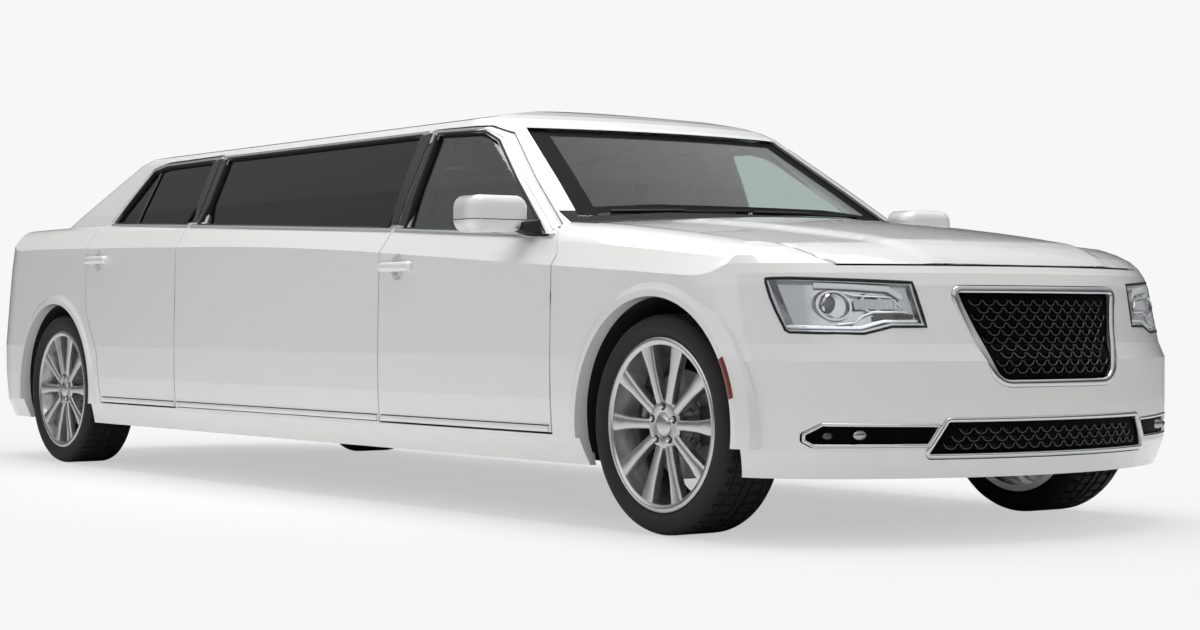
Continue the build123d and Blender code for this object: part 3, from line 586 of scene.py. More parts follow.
def swept(hits: Sequence[Hit], outline: Sequence[Pair], loop: bool = False) -> bmesh.types.BMesh:
    """Sweep an outline along surface points.

    Args:
        hits: Points and their outward normals.
        outline: Section as pairs of outward and across distances.
        loop: Whether the line closes.

    Returns:
        The swept shape.
    """
    work = bmesh.new()
    sweep(work, stations_along(hits, loop), outline, loop)
    return work


def strip(proud: float, height: float, sunk: float = 0.002) -> List[Pair]:
    """Outline of a low rounded moulding.

    Args:
        proud: How far it stands out.
        height: Its height.
        sunk: How far it is let in.

    Returns:
        The outline.
    """
    half, shoulder, crown = height / 2, proud * 0.6, height / 2 * 0.55
    lower = [(-sunk, -half), (shoulder, -half), (proud, -crown)]
    return lower + [(u, -v) for u, v in reversed(lower)]


def band(inner: float, outer: float, width: float) -> List[Pair]:
    """Outline of a flat band, from one distance outwards to another."""
    half = width / 2
    return [(inner, -half), (outer, -half), (outer, half), (inner, half)]


def grown(outline: Sequence[Pair], by: float) -> List[Pair]:
    """Move the sides of a convex outline outwards.

    Args:
        outline: Corners in order.
        by: Distance; a negative one moves the sides in.

    Returns:
        The new corners.
    """
    n, sharpest = len(outline), 0.2
    turn = sum(outline[i - 1][0] * outline[i][1] - outline[i][0] * outline[i - 1][1] for i in range(n))
    sign = 1 if turn > 0 else -1
    found = []
    for i in range(n):
        p, q, r = (Vector(outline[(i + k) % n]) for k in (-1, 0, 1))
        a, b = (q - p).normalized(), (r - q).normalized()
        na, nb = Vector((a.y, -a.x)) * sign, Vector((b.y, -b.x)) * sign
        mitre = (na + nb) / max(sharpest, 1 + na.dot(nb))
        found.append(tuple(q + mitre * by))
    return found


def rounded(outline: Sequence[Pair], radii: Sequence[float], steps: int = 6) -> List[Pair]:
    """Round the corners of a closed outline.

    Args:
        outline: Corners in order.
        radii: Radius asked for at each corner; short sides take less.
        steps: Steps round a corner.

    Returns:
        The new outline.
    """
    n, most = len(outline), 0.45
    found: List[Pair] = []
    for i in range(n):
        p, q, r = (Vector(outline[(i + k) % n]) for k in (-1, 0, 1))
        a, b = p - q, r - q
        cut = min(radii[i] / math.tan(a.angle(b) / 2), most * a.length, most * b.length)
        start, stop = q + a.normalized() * cut, q + b.normalized() * cut
        for k in range(steps + 1):
            t = k / steps
            found.append(tuple(start.lerp(q, t).lerp(q.lerp(stop, t), t)))
    return found


def share(value: float) -> float:
    """Hold a share between 0 and 1."""
    return min(1.0, max(0.0, value))


@dataclass
class Panels:
    """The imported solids, shown with their own finishes."""

    def build(self) -> None:
        """Dress every node with its finish."""
        for finish, nodes in NODE_FINISHES.items():
            for node in nodes:
                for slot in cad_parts[node].material_slots:
                    slot.material = finish.build()


@dataclass
class Hood:
    """The hood's skin, its middle raised between two creases that close in towards the grille."""

    lift: float = 0.011
    fall: float = 0.060
    rear: Pair = (1.95, 0.58)
    nose: Pair = (3.18, 0.42)
    start: float = 1.97
    rear_ease: float = 0.15
    nose_ease: float = 0.2
    length: Pair = (1.92, 3.30)
    width: Pair = (-0.77, 0.77)
    pitch: float = 0.035
    skin_depth: float = 0.0006

    def raised(self, x: float, y: float) -> float:
        """Height added at a place on the hood.

        Args:
            x: Place along the car.
            y: Place across it.

        Returns:
            The height.
        """
        along = (x - self.rear[0]) / (self.nose[0] - self.rear[0])
        crease = self.rear[1] + (self.nose[1] - self.rear[1]) * along
        out = share((abs(y) - crease + self.fall) / self.fall)
        ends = share((x - self.start) / self.rear_ease) * share((self.nose[0] - x) / self.nose_ease)
        return self.lift * (1 - out * out * (3 - 2 * out)) * ends

    def build(self) -> None:
        """Stand a finely divided copy in for the hood and raise its middle."""
        top = Skin(("hood",))
        work = node_copy("hood")
        for way, (start, stop) in ((Vector((1, 0, 0)), self.length), (Vector((0, 1, 0)), self.width)):
            for i in range(round((stop - start) / self.pitch) + 1):
                everything = work.verts[:] + work.edges[:] + work.faces[:]
                cut = way * (start + i * self.pitch)
                bmesh.ops.bisect_plane(work, geom=everything, plane_co=cut, plane_no=way)
        for vert in work.verts:
            spot, _ = top.top(vert.co.x, vert.co.y)
            if abs(spot.z - vert.co.z) < self.skin_depth:
                vert.co.z += self.raised(vert.co.x, vert.co.y)
        made = make_piece(work, "hood_creased", "hood_panel", WHITE_PAINT, 30)
        drop_normals(made)
        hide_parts("hood")


FLANK = ("body_side", "door_front", "door_rear", "fender")
WINDOW_SILL: Line = (
    (1.718, 0.984),
    (0.796, 1.030),
    (0.668, 1.036),
    (-0.944, 1.102),
    (-1.076, 1.106),
    (-1.88, 1.138),
)
SIDE_WINDOWS: Dict[str, Line] = {
    "front": ((1.718, 0.984), (1.205, 1.336), (1.110, 1.374), (0.796, 1.384), (0.796, 1.030)),
    "stretch": ((0.668, 1.036), (0.668, 1.386), (-0.944, 1.386), (-0.944, 1.102)),
    "rear": ((-1.076, 1.106), (-1.076, 1.384), (-1.555, 1.381), (-1.668, 1.364), (-1.880, 1.138)),
}
WINDOW_RAILS: Dict[str, Line] = {
    "front": ((1.748, 0.996), (1.212, 1.352), (1.108, 1.390), (0.748, 1.399)),
    "stretch": ((0.722, 1.400), (-0.988, 1.400)),
    "rear": ((-1.014, 1.399), (-1.556, 1.395), (-1.676, 1.377), (-1.898, 1.140)),
}
BELT_ENDS: Dict[str, Pair] = {"front": (1.79, 0.745), "stretch": (0.722, -0.988), "rear": (-1.014, -1.90)}
SKIRT_ENDS: Dict[str, Pair] = {"front": (1.852, 0.752), "stretch": (0.720, -0.985), "rear": (-1.016, -1.765)}


@dataclass(frozen=True)
class Run:
    """One length of flank trim: its part of the flank, the body it rides on and its line from the side."""

    part: str
    body: str
    line: Line


@dataclass
class FlankTrim:
    """Mouldings, seals and pillar covers of one flank, split at the shut lines."""

    side: Side
    belt_height: float = 0.019
    belt_proud: float = 0.007
    belt_drop: float = 0.011
    seal_height: float = 0.011
    seal_out: float = 0.0045
    rail_height: float = 0.010
    rail_step: float = 0.08
    skirt_level: float = 0.318
    skirt_height: float = 0.020
    skirt_line: float = 0.0115
    skirt_step: float = 0.2
    line_size: float = 0.004
    window_step: float = 0.09
    liner_wall: float = 0.0016
    reveal_out: float = 0.003
    reveal_in: float = 0.002
    reveal_depth: Pair = (-0.024, -0.001)
    liner_in: float = 0.003
    liner_depth: Pair = (-0.066, -0.009)
    cover_proud: float = 0.002
    cover_wall: float = 0.0035
    marker_reach: float = 0.420
    marker_turns: Tuple[int, int, int] = (13, 33, 2)
    marker_proud: float = 0.003
    marker_height: float = 0.022
    grip_out: float = 0.9435
    grip_size: Point = (0.226, 0.036, 0.038)
    grip_round: float = 0.0165
    skin: Skin = field(init=False)
    door_glass: Skin = field(init=False)
    quarter_glass: Skin = field(init=False)

    def __post_init__(self) -> None:
        """Take the flank's own solids as the surface."""
        word = self.side.word
        self.skin = Skin(tuple(f"{n}_{word}" for n in FLANK))
        self.door_glass = Skin((f"glass_front_{word}",))
        self.quarter_glass = Skin((f"glass_rear_{word}",))

    def body(self, part: str) -> str:
        """Body that a part of the flank rides on."""
        return CHASSIS if part == "stretch" else f"{part}_door_{self.side.word}"

    def runs(self, lines: Dict[str, Line]) -> List[Run]:
        """Lengths of trim on this side's bodies, from their lines by part."""
        return [Run(part, self.body(part), line) for part, line in lines.items()]

    def lay(
        self,
        stem: str,
        run: Run,
        outline: Sequence[Pair],
        finish: Finish,
        step: float = 0.12,
        loop: bool = False,
    ) -> None:
        """Sweep a moulding along a line on the flank.

        Args:
            stem: Start of the piece's name.
            run: Where it lies and what it rides on.
            outline: Its section.
            finish: Its finish.
            step: Distance between stations.
            loop: Whether the line closes.
        """
        hits = [self.skin.side(x, z, self.side) for x, z in spaced(run.line, step, loop)]
        make_piece(swept(hits, outline, loop), f"{stem}_{run.part}_{self.side.word}", run.body, finish)

    def level(self, x: float) -> float:
        """Height of the belt moulding.

        Args:
            x: Place along the car.

        Returns:
            Its height there.
        """
        for (x0, z0), (x1, z1) in zip(WINDOW_SILL, WINDOW_SILL[1:]):
            if x >= x1:
                break
        return z0 + (x - x0) * (z1 - z0) / (x1 - x0) - self.belt_drop

    def belt(self) -> None:
        """Bright moulding under the windows."""
        lines = {part: tuple((x, self.level(x)) for x in ends) for part, ends in BELT_ENDS.items()}
        for run in self.runs(lines):
            self.lay("belt_moulding", run, strip(self.belt_proud, self.belt_height), CHROME)

    def skirts(self) -> None:
        """Painted strip along the foot of the doors, between two dark lines."""
        lines = {part: tuple((x, self.skirt_level) for x in ends) for part, ends in SKIRT_ENDS.items()}
        painted, dark = strip(self.belt_proud, self.skirt_height), strip(self.line_size, self.line_size)
        for run in self.runs(lines):
            self.lay("door_foot_strip", run, painted, WHITE_PAINT, self.skirt_step)
            for place, rise in (("top", self.skirt_line), ("foot", -self.skirt_line)):
                edge = replace(run, line=tuple((x, z + rise) for x, z in run.line))
                self.lay(f"door_foot_{place}_line", edge, dark, SEAL_RUBBER, self.skirt_step)

    def reveal(self, run: Run) -> None:
        """Line the edge of a window opening, from the skin to the glass.

        Args:
            run: Outline of the opening and what it rides on.
        """
        outer, inner = grown(run.line, self.reveal_out), grown(run.line, -self.reveal_in)
        hits = []
        for i in range(len(outer)):
            a, b, c, d = (Vector(p) for p in (outer[i - 1], outer[i], inner[i - 1], inner[i]))
            count = max(1, round((b - a).length / self.window_step))
            for k in range(count):
                out, into = a.lerp(b, k / count), c.lerp(d, k / count)
                spot, normal = self.skin.side(out.x, out.y, self.side)
                hits.append((spot + Vector((into.x - out.x, 0, into.y - out.y)), normal))
        work = swept(hits, band(*self.reveal_depth, self.liner_wall), True)
        make_piece(work, f"window_reveal_{run.part}_{self.side.word}", run.body, SEAL_RUBBER)

    def windows(self) -> None:
        """Rubber, a dark reveal and a bright rail at each side window, and a liner in the front one."""
        seal = strip(self.line_size, self.seal_height, self.line_size)
        for run in self.runs(SIDE_WINDOWS):
            edge = replace(run, line=tuple(grown(run.line, self.seal_out)))
            self.lay("window_seal", edge, seal, SEAL_RUBBER, self.window_step, True)
            self.reveal(run)
        edge = spaced(grown(SIDE_WINDOWS["front"], -self.liner_in), self.window_step, True)
        hits = [self.door_glass.side(x, z, self.side) for x, z in edge]
        liner = swept(hits, band(*self.liner_depth, self.liner_wall), True)
        name = f"window_liner_front_{self.side.word}"
        make_piece(liner, name, self.body("front"), GRAINED_BLACK)
        rail = strip(self.line_size, self.rail_height)
        for run in self.runs(WINDOW_RAILS):
            self.lay("window_rail", run, rail, CHROME, self.rail_step)

    def cover(self, name: str, part: str, corners: Line, skin: Skin) -> None:
        """Lay a thin gloss black plate on the flank between four corners.

        Args:
            name: Which cover it is.
            part: Part of the flank it rides on.
            corners: Corners seen from the side, in order round the plate.
            skin: Surface it lies on.
        """
        a, b, c, d = (Vector(p) for p in corners)

        def seat(u: float, v: float) -> Vector:
            """Place of a point of the plate, a little proud of the surface.

            Args:
                u: Its share of the way across.
                v: Its share of the way up.

            Returns:
                The place.
            """
            at = a.lerp(d, u).lerp(b.lerp(c, u), v)
            spot, normal = skin.side(at.x, at.y, self.side)
            return spot + normal * self.cover_proud

        work = plate((2, 8), seat, self.cover_wall)
        make_piece(work, f"pillar_cover_{name}_{self.side.word}", self.body(part), GLOSS_BLACK)

    def pillars(self) -> None:
        """Covers on the pillars, the sail by the mirror and the bar of the rear quarter light."""
        front = ((0.790, 1.036), (0.790, 1.381), (0.7590, 1.392), (0.7405, 1.040))
        middle_front = ((0.7295, 1.042), (0.7480, 1.393), (0.674, 1.386), (0.674, 1.042))
        middle_rear = ((-0.950, 1.108), (-0.950, 1.385), (-0.9985, 1.392), (-0.9985, 1.110))
        rear = ((-1.0088, 1.112), (-1.0088, 1.392), (-1.070, 1.384), (-1.070, 1.112))
        sail = ((1.690, 1.002), (1.612, 1.054), (1.590, 1.066), (1.590, 1.004))
        quarter = ((-1.640, 1.130), (-1.596, 1.374), (-1.620, 1.366), (-1.672, 1.131))
        self.cover("front_door", "front", front, self.skin)
        self.cover("middle_front", "stretch", middle_front, self.skin)
        self.cover("middle_rear", "stretch", middle_rear, self.skin)
        self.cover("rear_door", "rear", rear, self.skin)
        self.cover("mirror_sail", "front", sail, self.door_glass)
        self.cover("quarter_bar", "rear", quarter, self.quarter_glass)

    def markers(self) -> None:
        """Reflector on the arch lip of the front bumper."""
        lip, reach = Skin(("front_bumper",)), self.marker_reach
        hits = []
        for turn in map(math.radians, range(*self.marker_turns)):
            x, z = End.FRONT.value + reach * math.cos(turn), WHEEL_RADIUS + reach * math.sin(turn)
            hits.append(lip.side(x, z, self.side))
        work = swept(hits, strip(self.marker_proud, self.marker_height))
        make_piece(work, f"side_marker_{self.side.word}", CHASSIS, AMBER_ACRYLIC)

    def grips(self) -> None:
        """Rounded grips over the door handles."""
        for part, x, z in (("front", 0.865, 0.881), ("rear", -1.820, 0.961)):
            work = bmesh.new()
            box(work, (x, self.grip_out * self.side.value, z), self.grip_size)
            soften(work, self.grip_round, 6)
            make_piece(work, f"grip_{part}_{self.side.word}", self.body(part), WHITE_PAINT, 40)

    def build(self) -> None:
        """Make all the trim of this flank."""
        self.grips()
        self.belt()
        self.skirts()
        self.windows()
        self.pillars()
        self.markers()


# Turned outlines of a wheel: pairs of radius and distance along the axle.
# The barrel's radii are from the bead.
BARREL: Line = (
    (0.0, 0.103),
    (-0.012, 0.070),
    (-0.036, 0.030),
    (-0.036, -0.060),
    (-0.006, -0.090),
    (0.0, -0.103),
    (0.008, -0.106),
    (0.008, -0.112),
    (-0.014, -0.112),
    (-0.046, -0.060),
    (-0.046, 0.030),
    (-0.024, 0.072),
    (-0.016, 0.106),
    (-0.008, 0.111),
    (0.003, 0.1115),
    (0.008, 0.109),
    (0.008, 0.104),
)
HUB_FACE: Line = (
    (0.030, -0.024),
    (0.062, -0.024),
    (0.062, 0.070),
    (0.080, 0.076),
    (0.080, 0.088),
    (0.074, 0.0955),
    (0.046, 0.0975),
    (0.040, 0.096),
    (0.038, 0.0925),
    (0.030, 0.092),
)
WHEEL_CAP: Line = (
    (0.0, 0.1015),
    (0.022, 0.1008),
    (0.034, 0.0985),
    (0.0378, 0.0945),
    (0.0378, 0.088),
    (0.0, 0.088),
)
BRAKE_DISC: Line = (
    (0.064, 0.013),
    (0.100, 0.013),
    (0.102, 0.011),
    (0.105, 0.013),
    (0.174, 0.013),
    (0.175, 0.011),
    (0.175, -0.011),
    (0.174, -0.013),
    (0.064, -0.013),
)


@dataclass(frozen=True)
class Section:
    """A section of a spoke: its radius, its width, and where its back and its face lie along the axle."""

    radius: float
    width: float
    back: float
    face: float

    def shape(self, verts: Iterable[bmesh.types.BMVert]) -> None:
        """Move four corners of a spoke to this section.

        Args:
            verts: The corners.
        """
        middle = (self.back + self.face) / 2
        for v in verts:
            y = self.face if v.co.y > middle else self.back
            v.co = Vector((math.copysign(self.width / 2, v.co.x), y, self.radius))


SPOKE: Tuple[Section, ...] = (
    Section(0.052, 0.034, 0.070, 0.094),
    Section(0.110, 0.034, 0.070, 0.099),
    Section(0.185, 0.040, 0.072, 0.102),
    Section(0.257, 0.060, 0.076, 0.106),
)


@dataclass
class Wheel:
    """One wheel: tyre with tread, alloy rim with spokes, nuts and cap, and the brake disc."""

    end: End
    side: Side
    half_track: float = 0.800
    width: float = 0.245
    bead: float = 0.271
    groove: float = 0.007
    steps: int = 150
    sipe_every: int = 3
    sipe_edge: float = 0.0022
    sipe_depth: float = 0.005
    tread_skin: float = 0.006
    ribs: Tuple[Pair, Pair] = ((0.010, 0.060), (0.0735, 0.1))
    spokes: int = 10
    spoke_round: float = 0.0075
    nuts: int = 5
    nut_circle: float = 0.0575
    nut_round: float = 0.0012

    @property
    def place(self) -> str:
        """End and side, as the node names spell them."""
        return f"{self.end.word}_{self.side.word}"

    def turn(self, outline: Sequence[Pair], steps: int, loop: bool = True) -> bmesh.types.BMesh:
        """Spin an outline of radius and distance about the axle."""
        return turned([(0, y, r) for r, y in outline], (0, 1, 0), steps, loop)

    def fit(
        self, work: bmesh.types.BMesh, name: str, finish: Finish, slot: Slot, smooth_deg: float = 35.0
    ) -> bpy.types.Object:
        """Move a shape, made about the origin with its face at +Y, to its hub and make it a piece.

        Args:
            work: The shape.
            name: Piece name.
            finish: Its finish.
            slot: Not used.
            smooth_deg: Edges sharper than this stay sharp.

        Returns:
            The new piece.
        """
        if self.side is Side.RIGHT:
            bmesh.ops.rotate(work, verts=work.verts, matrix=Matrix.Rotation(math.pi, 3, "Z"))
        centre = Vector((self.end.value, self.half_track * self.side.value, WHEEL_RADIUS))
        bmesh.ops.translate(work, verts=work.verts, vec=centre)
        return make_piece(work, name, f"wheel_{self.place}", finish, smooth_deg)

    def is_sipe(self, face: bmesh.types.BMFace) -> bool:
        """Tell whether a face of the tyre is cut as a sipe.

        Args:
            face: A face of the turned tyre.

        Returns:
            True on the ribs of the tread, at every few steps round.
        """
        spot = face.calc_center_median()
        on_rib = any(low < abs(spot.y) < high for low, high in self.ribs)
        on_tread = math.hypot(spot.x, spot.z) > WHEEL_RADIUS - self.tread_skin
        step = int((math.atan2(spot.z, spot.x) % math.tau) * self.steps / math.tau)
        return on_tread and on_rib and step % self.sipe_every == 0

    def tyre(self) -> None:
        """Tyre with round shoulders, running grooves and cross sipes."""
        r, w, b = WHEEL_RADIUS, self.width / 2, self.bead
        deep = r - self.groove
        half = [(b, 0.100), (b + 0.012, 0.106), (0.292, 0.117), (0.305, w), (0.322, w - 0.0005)]
        half += [(0.335, w - 0.005), (0.3440, w - 0.013), (0.3490, w - 0.024), (r - 0.0008, 0.090)]
        half += [(r, 0.074), (r, 0.070), (deep, 0.068), (deep, 0.061), (r, 0.059)]
        half += [(r, 0.022), (deep, 0.020), (deep, 0.012), (r, 0.010)]
        work = self.turn(half + [(radius, -y) for radius, y in reversed(half)], self.steps)
        sipes = [face for face in work.faces if self.is_sipe(face)]
        bmesh.ops.inset_individual(work, faces=sipes, thickness=self.sipe_edge, depth=-self.sipe_depth)
        made = self.fit(work, f"tyre_{self.place}_treaded", TYRE_RUBBER, Slot.TYRE, 30)
        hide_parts(f"tyre_{self.place}")

    def arms(self) -> bmesh.types.BMesh:
        """Make the spokes, widening to the rim, with none of them straight up.

        Returns:
            All the spokes.
        """
        work = bmesh.new()
        made = bmesh.ops.create_cube(work, size=1.0)["verts"]
        low, high = [v for v in made if v.co.z < 0], [v for v in made if v.co.z > 0]
        SPOKE[0].shape(low)
        SPOKE[1].shape(high)
        face = next(f for f in work.faces if all(v in high for v in f.verts))
        for section in SPOKE[2:]:
            face = bmesh.ops.extrude_discrete_faces(work, faces=[face])["faces"][0]
            section.shape(face.verts)
        bmesh.ops.remove_doubles(work, verts=work.verts, dist=TURN_WELD)
        front, shortest = 0.085, 0.02
        facing = [e for e in work.edges if all(v.co.y > front for v in e.verts)]
        outer = [e for e in facing if abs(e.verts[0].co.z - e.verts[1].co.z) > shortest]
        soften(work, self.spoke_round, 3, outer)
        bmesh.ops.rotate(work, verts=work.verts, matrix=Matrix.Rotation(math.pi / self.spokes, 3, "Y"))
        first = work.verts[:] + work.edges[:] + work.faces[:]
        for i in range(1, self.spokes):
            copy = bmesh.ops.duplicate(work, geom=first)["geom"]
            verts = [g for g in copy if isinstance(g, bmesh.types.BMVert)]
            bmesh.ops.rotate(work, verts=verts, matrix=Matrix.Rotation(math.tau * i / self.spokes, 3, "Y"))
        return work

    def rim(self) -> None:
        """Alloy rim: barrel, hub face and spokes."""
        work = self.turn([(self.bead + r, y) for r, y in BARREL], 96)
        for extra in (self.turn(HUB_FACE, 60), self.arms()):
            mesh = bpy.data.meshes.new("wheel_join")
            extra.to_mesh(mesh)
            work.from_mesh(mesh)
            extra.free()
            bpy.data.meshes.remove(mesh)
        made = self.fit(work, f"rim_{self.place}_alloy", SILVER_ALLOY, Slot.ALLOY, 32)
        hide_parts(f"rim_{self.place}")

    def fittings(self) -> None:
        """Cap, wheel nuts on dark discs of painted shade for their recesses, and the ground brake disc
        behind the spokes.
        """
        self.fit(self.turn(WHEEL_CAP, 40, False), f"wheel_cap_{self.place}", SILVER_ALLOY, Slot.ALLOY, 40)
        shade_discs, nuts = bmesh.new(), bmesh.new()
        for i in range(self.nuts):
            turn = Matrix.Rotation(math.tau * i / self.nuts, 4, "Y")
            out = turn @ Matrix.Translation((0, 0, self.nut_circle))
            lie = out @ Matrix.Rotation(-math.pi / 2, 4, "X")
            for work, sides, foot, head, depth, off in (
                (shade_discs, 24, 0.0125, 0.0125, 0.003, 0.0965),
                (nuts, 6, 0.0095, 0.0078, 0.012, 0.100),
            ):
                at = lie @ Matrix.Translation((0, 0, off))
                bmesh.ops.create_cone(
                    work, cap_ends=True, segments=sides, radius1=foot, radius2=head, depth=depth, matrix=at
                )
        soften(nuts, self.nut_round, 2)
        # The dark discs under the nuts are painted shade, standing for the recesses the nuts sit in.
        self.fit(shade_discs, f"nut_wells_{self.place}", GRAINED_BLACK, Slot.BLACK)
        self.fit(nuts, f"wheel_nuts_{self.place}", CHROME, Slot.BRIGHT, 30)
        self.fit(self.turn(BRAKE_DISC, 72), f"brake_disc_{self.place}", GROUND_STEEL, Slot.METAL, 30)

    def build(self) -> None:
        """Make the whole wheel."""
        self.tyre()
        self.rim()
        self.fittings()


@dataclass(frozen=True)
class LampBar:
    """A bar behind a headlamp's cover: its height, its finish and its line seen from the front."""

    name: str
    height: float
    finish: Finish
    line: Line


LAMP_BARS: Tuple[LampBar, ...] = (
    LampBar(
        "lamp_day_bar", 0.016, WHITE_LIGHT, ((0.745, 0.789), (0.640, 0.784), (0.548, 0.777), (0.512, 0.750))
    ),
    LampBar(
        "lamp_upper_line", 0.005, CHROME, ((0.672, 0.766), (0.640, 0.757), (0.545, 0.752), (0.520, 0.722))
    ),
    LampBar(
        "lamp_wave",
        0.007,
        CHROME,
        ((0.505, 0.708), (0.600, 0.708), (0.630, 0.696), (0.655, 0.676), (0.700, 0.670)),
    ),
    LampBar("lamp_led_strip", 0.014, GLOSS_BLACK, ((0.488, 0.694), (0.600, 0.693))),
    LampBar(
        "lamp_lower_bar",
        0.010,
        CHROME,
        ((0.820, 0.664), (0.700, 0.660), (0.640, 0.660), (0.575, 0.680), (0.478, 0.680)),
    ),
)
# The cover's edge: across the front, round the corner on the flank, and back under the lamp.
LAMP_FRONT: Line = (
    (0.640, 0.643),
    (0.560, 0.664),
    (0.459, 0.664),
    (0.479, 0.799),
    (0.640, 0.806),
    (0.800, 0.812),
    (0.836, 0.8115),
)
LAMP_CORNER: Line = (
    (2.879, 0.810),
    (2.882, 0.800),
    (2.901, 0.751),
    (2.919, 0.712),
    (2.942, 0.668),
    (2.949, 0.655),
)
LAMP_FOOT: Line = ((0.822, 0.6475), (0.760, 0.645))


@dataclass
class Headlamp:
    """Inside of one headlamp, the dark seal round its cover, and the small lamps in the recess below."""

    side: Side
    projector: Pair = (0.700, 0.728)
    projector_radius: float = 0.040
    projector_ring: Line = ((0.74, -0.016), (0.78, -0.002), (0.90, 0.0), (1.0, -0.005), (1.0, -0.016))
    lens_share: float = 0.72
    lens_bulge: float = 0.42
    lens_back: float = 0.016
    depth: float = 0.016
    bar_share: float = 0.7
    bar_step: float = 0.02
    bar_proud: float = 0.004
    bar_sunk: float = 0.006
    reflector_y: Pair = (0.530, 0.650)
    reflector_z: Pair = (0.716, 0.746)
    flutes: int = 9
    flute_top: float = 0.0095
    flute_depth: float = 0.003
    reflector_wall: float = 0.001
    seal_step: float = 0.03
    seal_section: Point = (0.0025, 0.008, 0.004)
    fog_proud: float = 0.004
    skin: Skin = field(init=False)
    cover: Skin = field(init=False)

    def __post_init__(self) -> None:
        """Take the lamp's cover and the panels beside it as the surface."""
        self.cover = Skin(("front_lamp_lenses",))
        self.skin = Skin(("front_lamp_lenses", "front_bumper", f"fender_{self.side.word}", "hood"))

    def fit(
        self, work: bmesh.types.BMesh, stem: str, finish: Finish, slot: Slot, smooth_deg: float = 35.0
    ) -> None:
        """Make a piece of this side's lamp."""
        make_piece(work, f"{stem}_{self.side.word}", CHASSIS, finish, smooth_deg)

    def seal(self) -> None:
        """Dark rubber along the cover's edge, from the front and round the corner."""
        s = self.side.value
        hits = [self.skin.nose(y * s, z) for y, z in spaced(LAMP_FRONT, self.seal_step)]
        hits += [self.skin.side(x, z, self.side) for x, z in spaced(LAMP_CORNER, self.seal_step)]
        hits += [self.skin.nose(y * s, z) for y, z in spaced(LAMP_FOOT, self.seal_step)]
        self.fit(swept(hits, strip(*self.seal_section), True), "lamp_seal", SEAL_RUBBER, Slot.BLACK)

    def eye(self) -> None:
        """The projector: a bright ring and a glass lens."""
        spot, _ = self.cover.nose(self.projector[0] * self.side.value, self.projector[1])
        place = Matrix.Translation(spot - Vector((self.depth, 0, 0))) @ Matrix.Rotation(math.pi / 2, 4, "Y")
        radius = self.projector_radius
        ring = turned([(0, radius * r, h) for r, h in self.projector_ring], (0, 0, 1), 40)
        bmesh.ops.transform(ring, matrix=place, verts=ring.verts)
        self.fit(ring, "projector_ring", CHROME, Slot.BRIGHT)
        lens = bmesh.new()
        bmesh.ops.create_uvsphere(lens, u_segments=32, v_segments=16, radius=radius * self.lens_share)
        bmesh.ops.scale(lens, vec=(1, 1, self.lens_bulge), verts=lens.verts)
        bmesh.ops.translate(lens, vec=(0, 0, -self.lens_back), verts=lens.verts)
        bmesh.ops.transform(lens, matrix=place, verts=lens.verts)
        self.fit(lens, "projector_lens", LENS_GLASS, Slot.LENS)

    def bars(self) -> None:
        """Light bars and bright lines set behind the cover."""
        back = Vector((self.depth * self.bar_share, 0, 0))
        for bar in LAMP_BARS:
            met = [self.cover.nose(y * self.side.value, z) for y, z in spaced(bar.line, self.bar_step)]
            hits = [(spot - back, normal) for spot, normal in met]
            section = strip(self.bar_proud, bar.height, self.bar_sunk)
            self.fit(swept(hits, section), bar.name, bar.finish, Slot.REFLECTOR)

    def reflector(self) -> None:
        """A fluted reflector behind the cover."""
        (inner, outer), (low, high) = self.reflector_y, self.reflector_z

        def seat(u: float, v: float) -> Vector:
            """Place of a point of the reflector, every second one further back.

            Args:
                u: Its share of the way across.
                v: Its share of the way up.

            Returns:
                The place.
            """
            y, z = inner + (outer - inner) * u, low + (high - low) * v
            spot, _ = self.cover.nose(y * self.side.value, z)
            step = round(u * self.flutes * 2) % 2
            return spot - Vector((self.flute_top + self.flute_depth * step, 0, 0))

        work = plate((self.flutes * 2, 4), seat, self.reflector_wall)
        self.fit(work, "lamp_reflector", LAMP_BOWL, Slot.REFLECTOR, 20)

    def fog_lamps(self) -> None:
        """Lamp and marker on the dark back of the recess."""
        back = Skin(("grilles",))
        for name, y, z, size, finish in (
            ("fog_lamp", 0.662, 0.338, (0.007, 0.030, 0.015), LAMP_BOWL),
            ("fog_marker", 0.745, 0.336, (0.006, 0.022, 0.011), LENS_GLASS),
        ):
            spot, _ = back.nose(y * self.side.value, z)
            work = bmesh.new()
            place = Matrix.Translation(spot + Vector((self.fog_proud, 0, 0))) @ Matrix.Diagonal((*size, 1))
            bmesh.ops.create_uvsphere(work, u_segments=24, v_segments=12, radius=1.0, matrix=place)
            self.fit(work, name, finish, Slot.LENS)

    def build(self) -> None:
        """Fill the lamp, and the recess below it."""
        self.seal()
        self.eye()
        self.bars()
        self.reflector()
        self.fog_lamps()


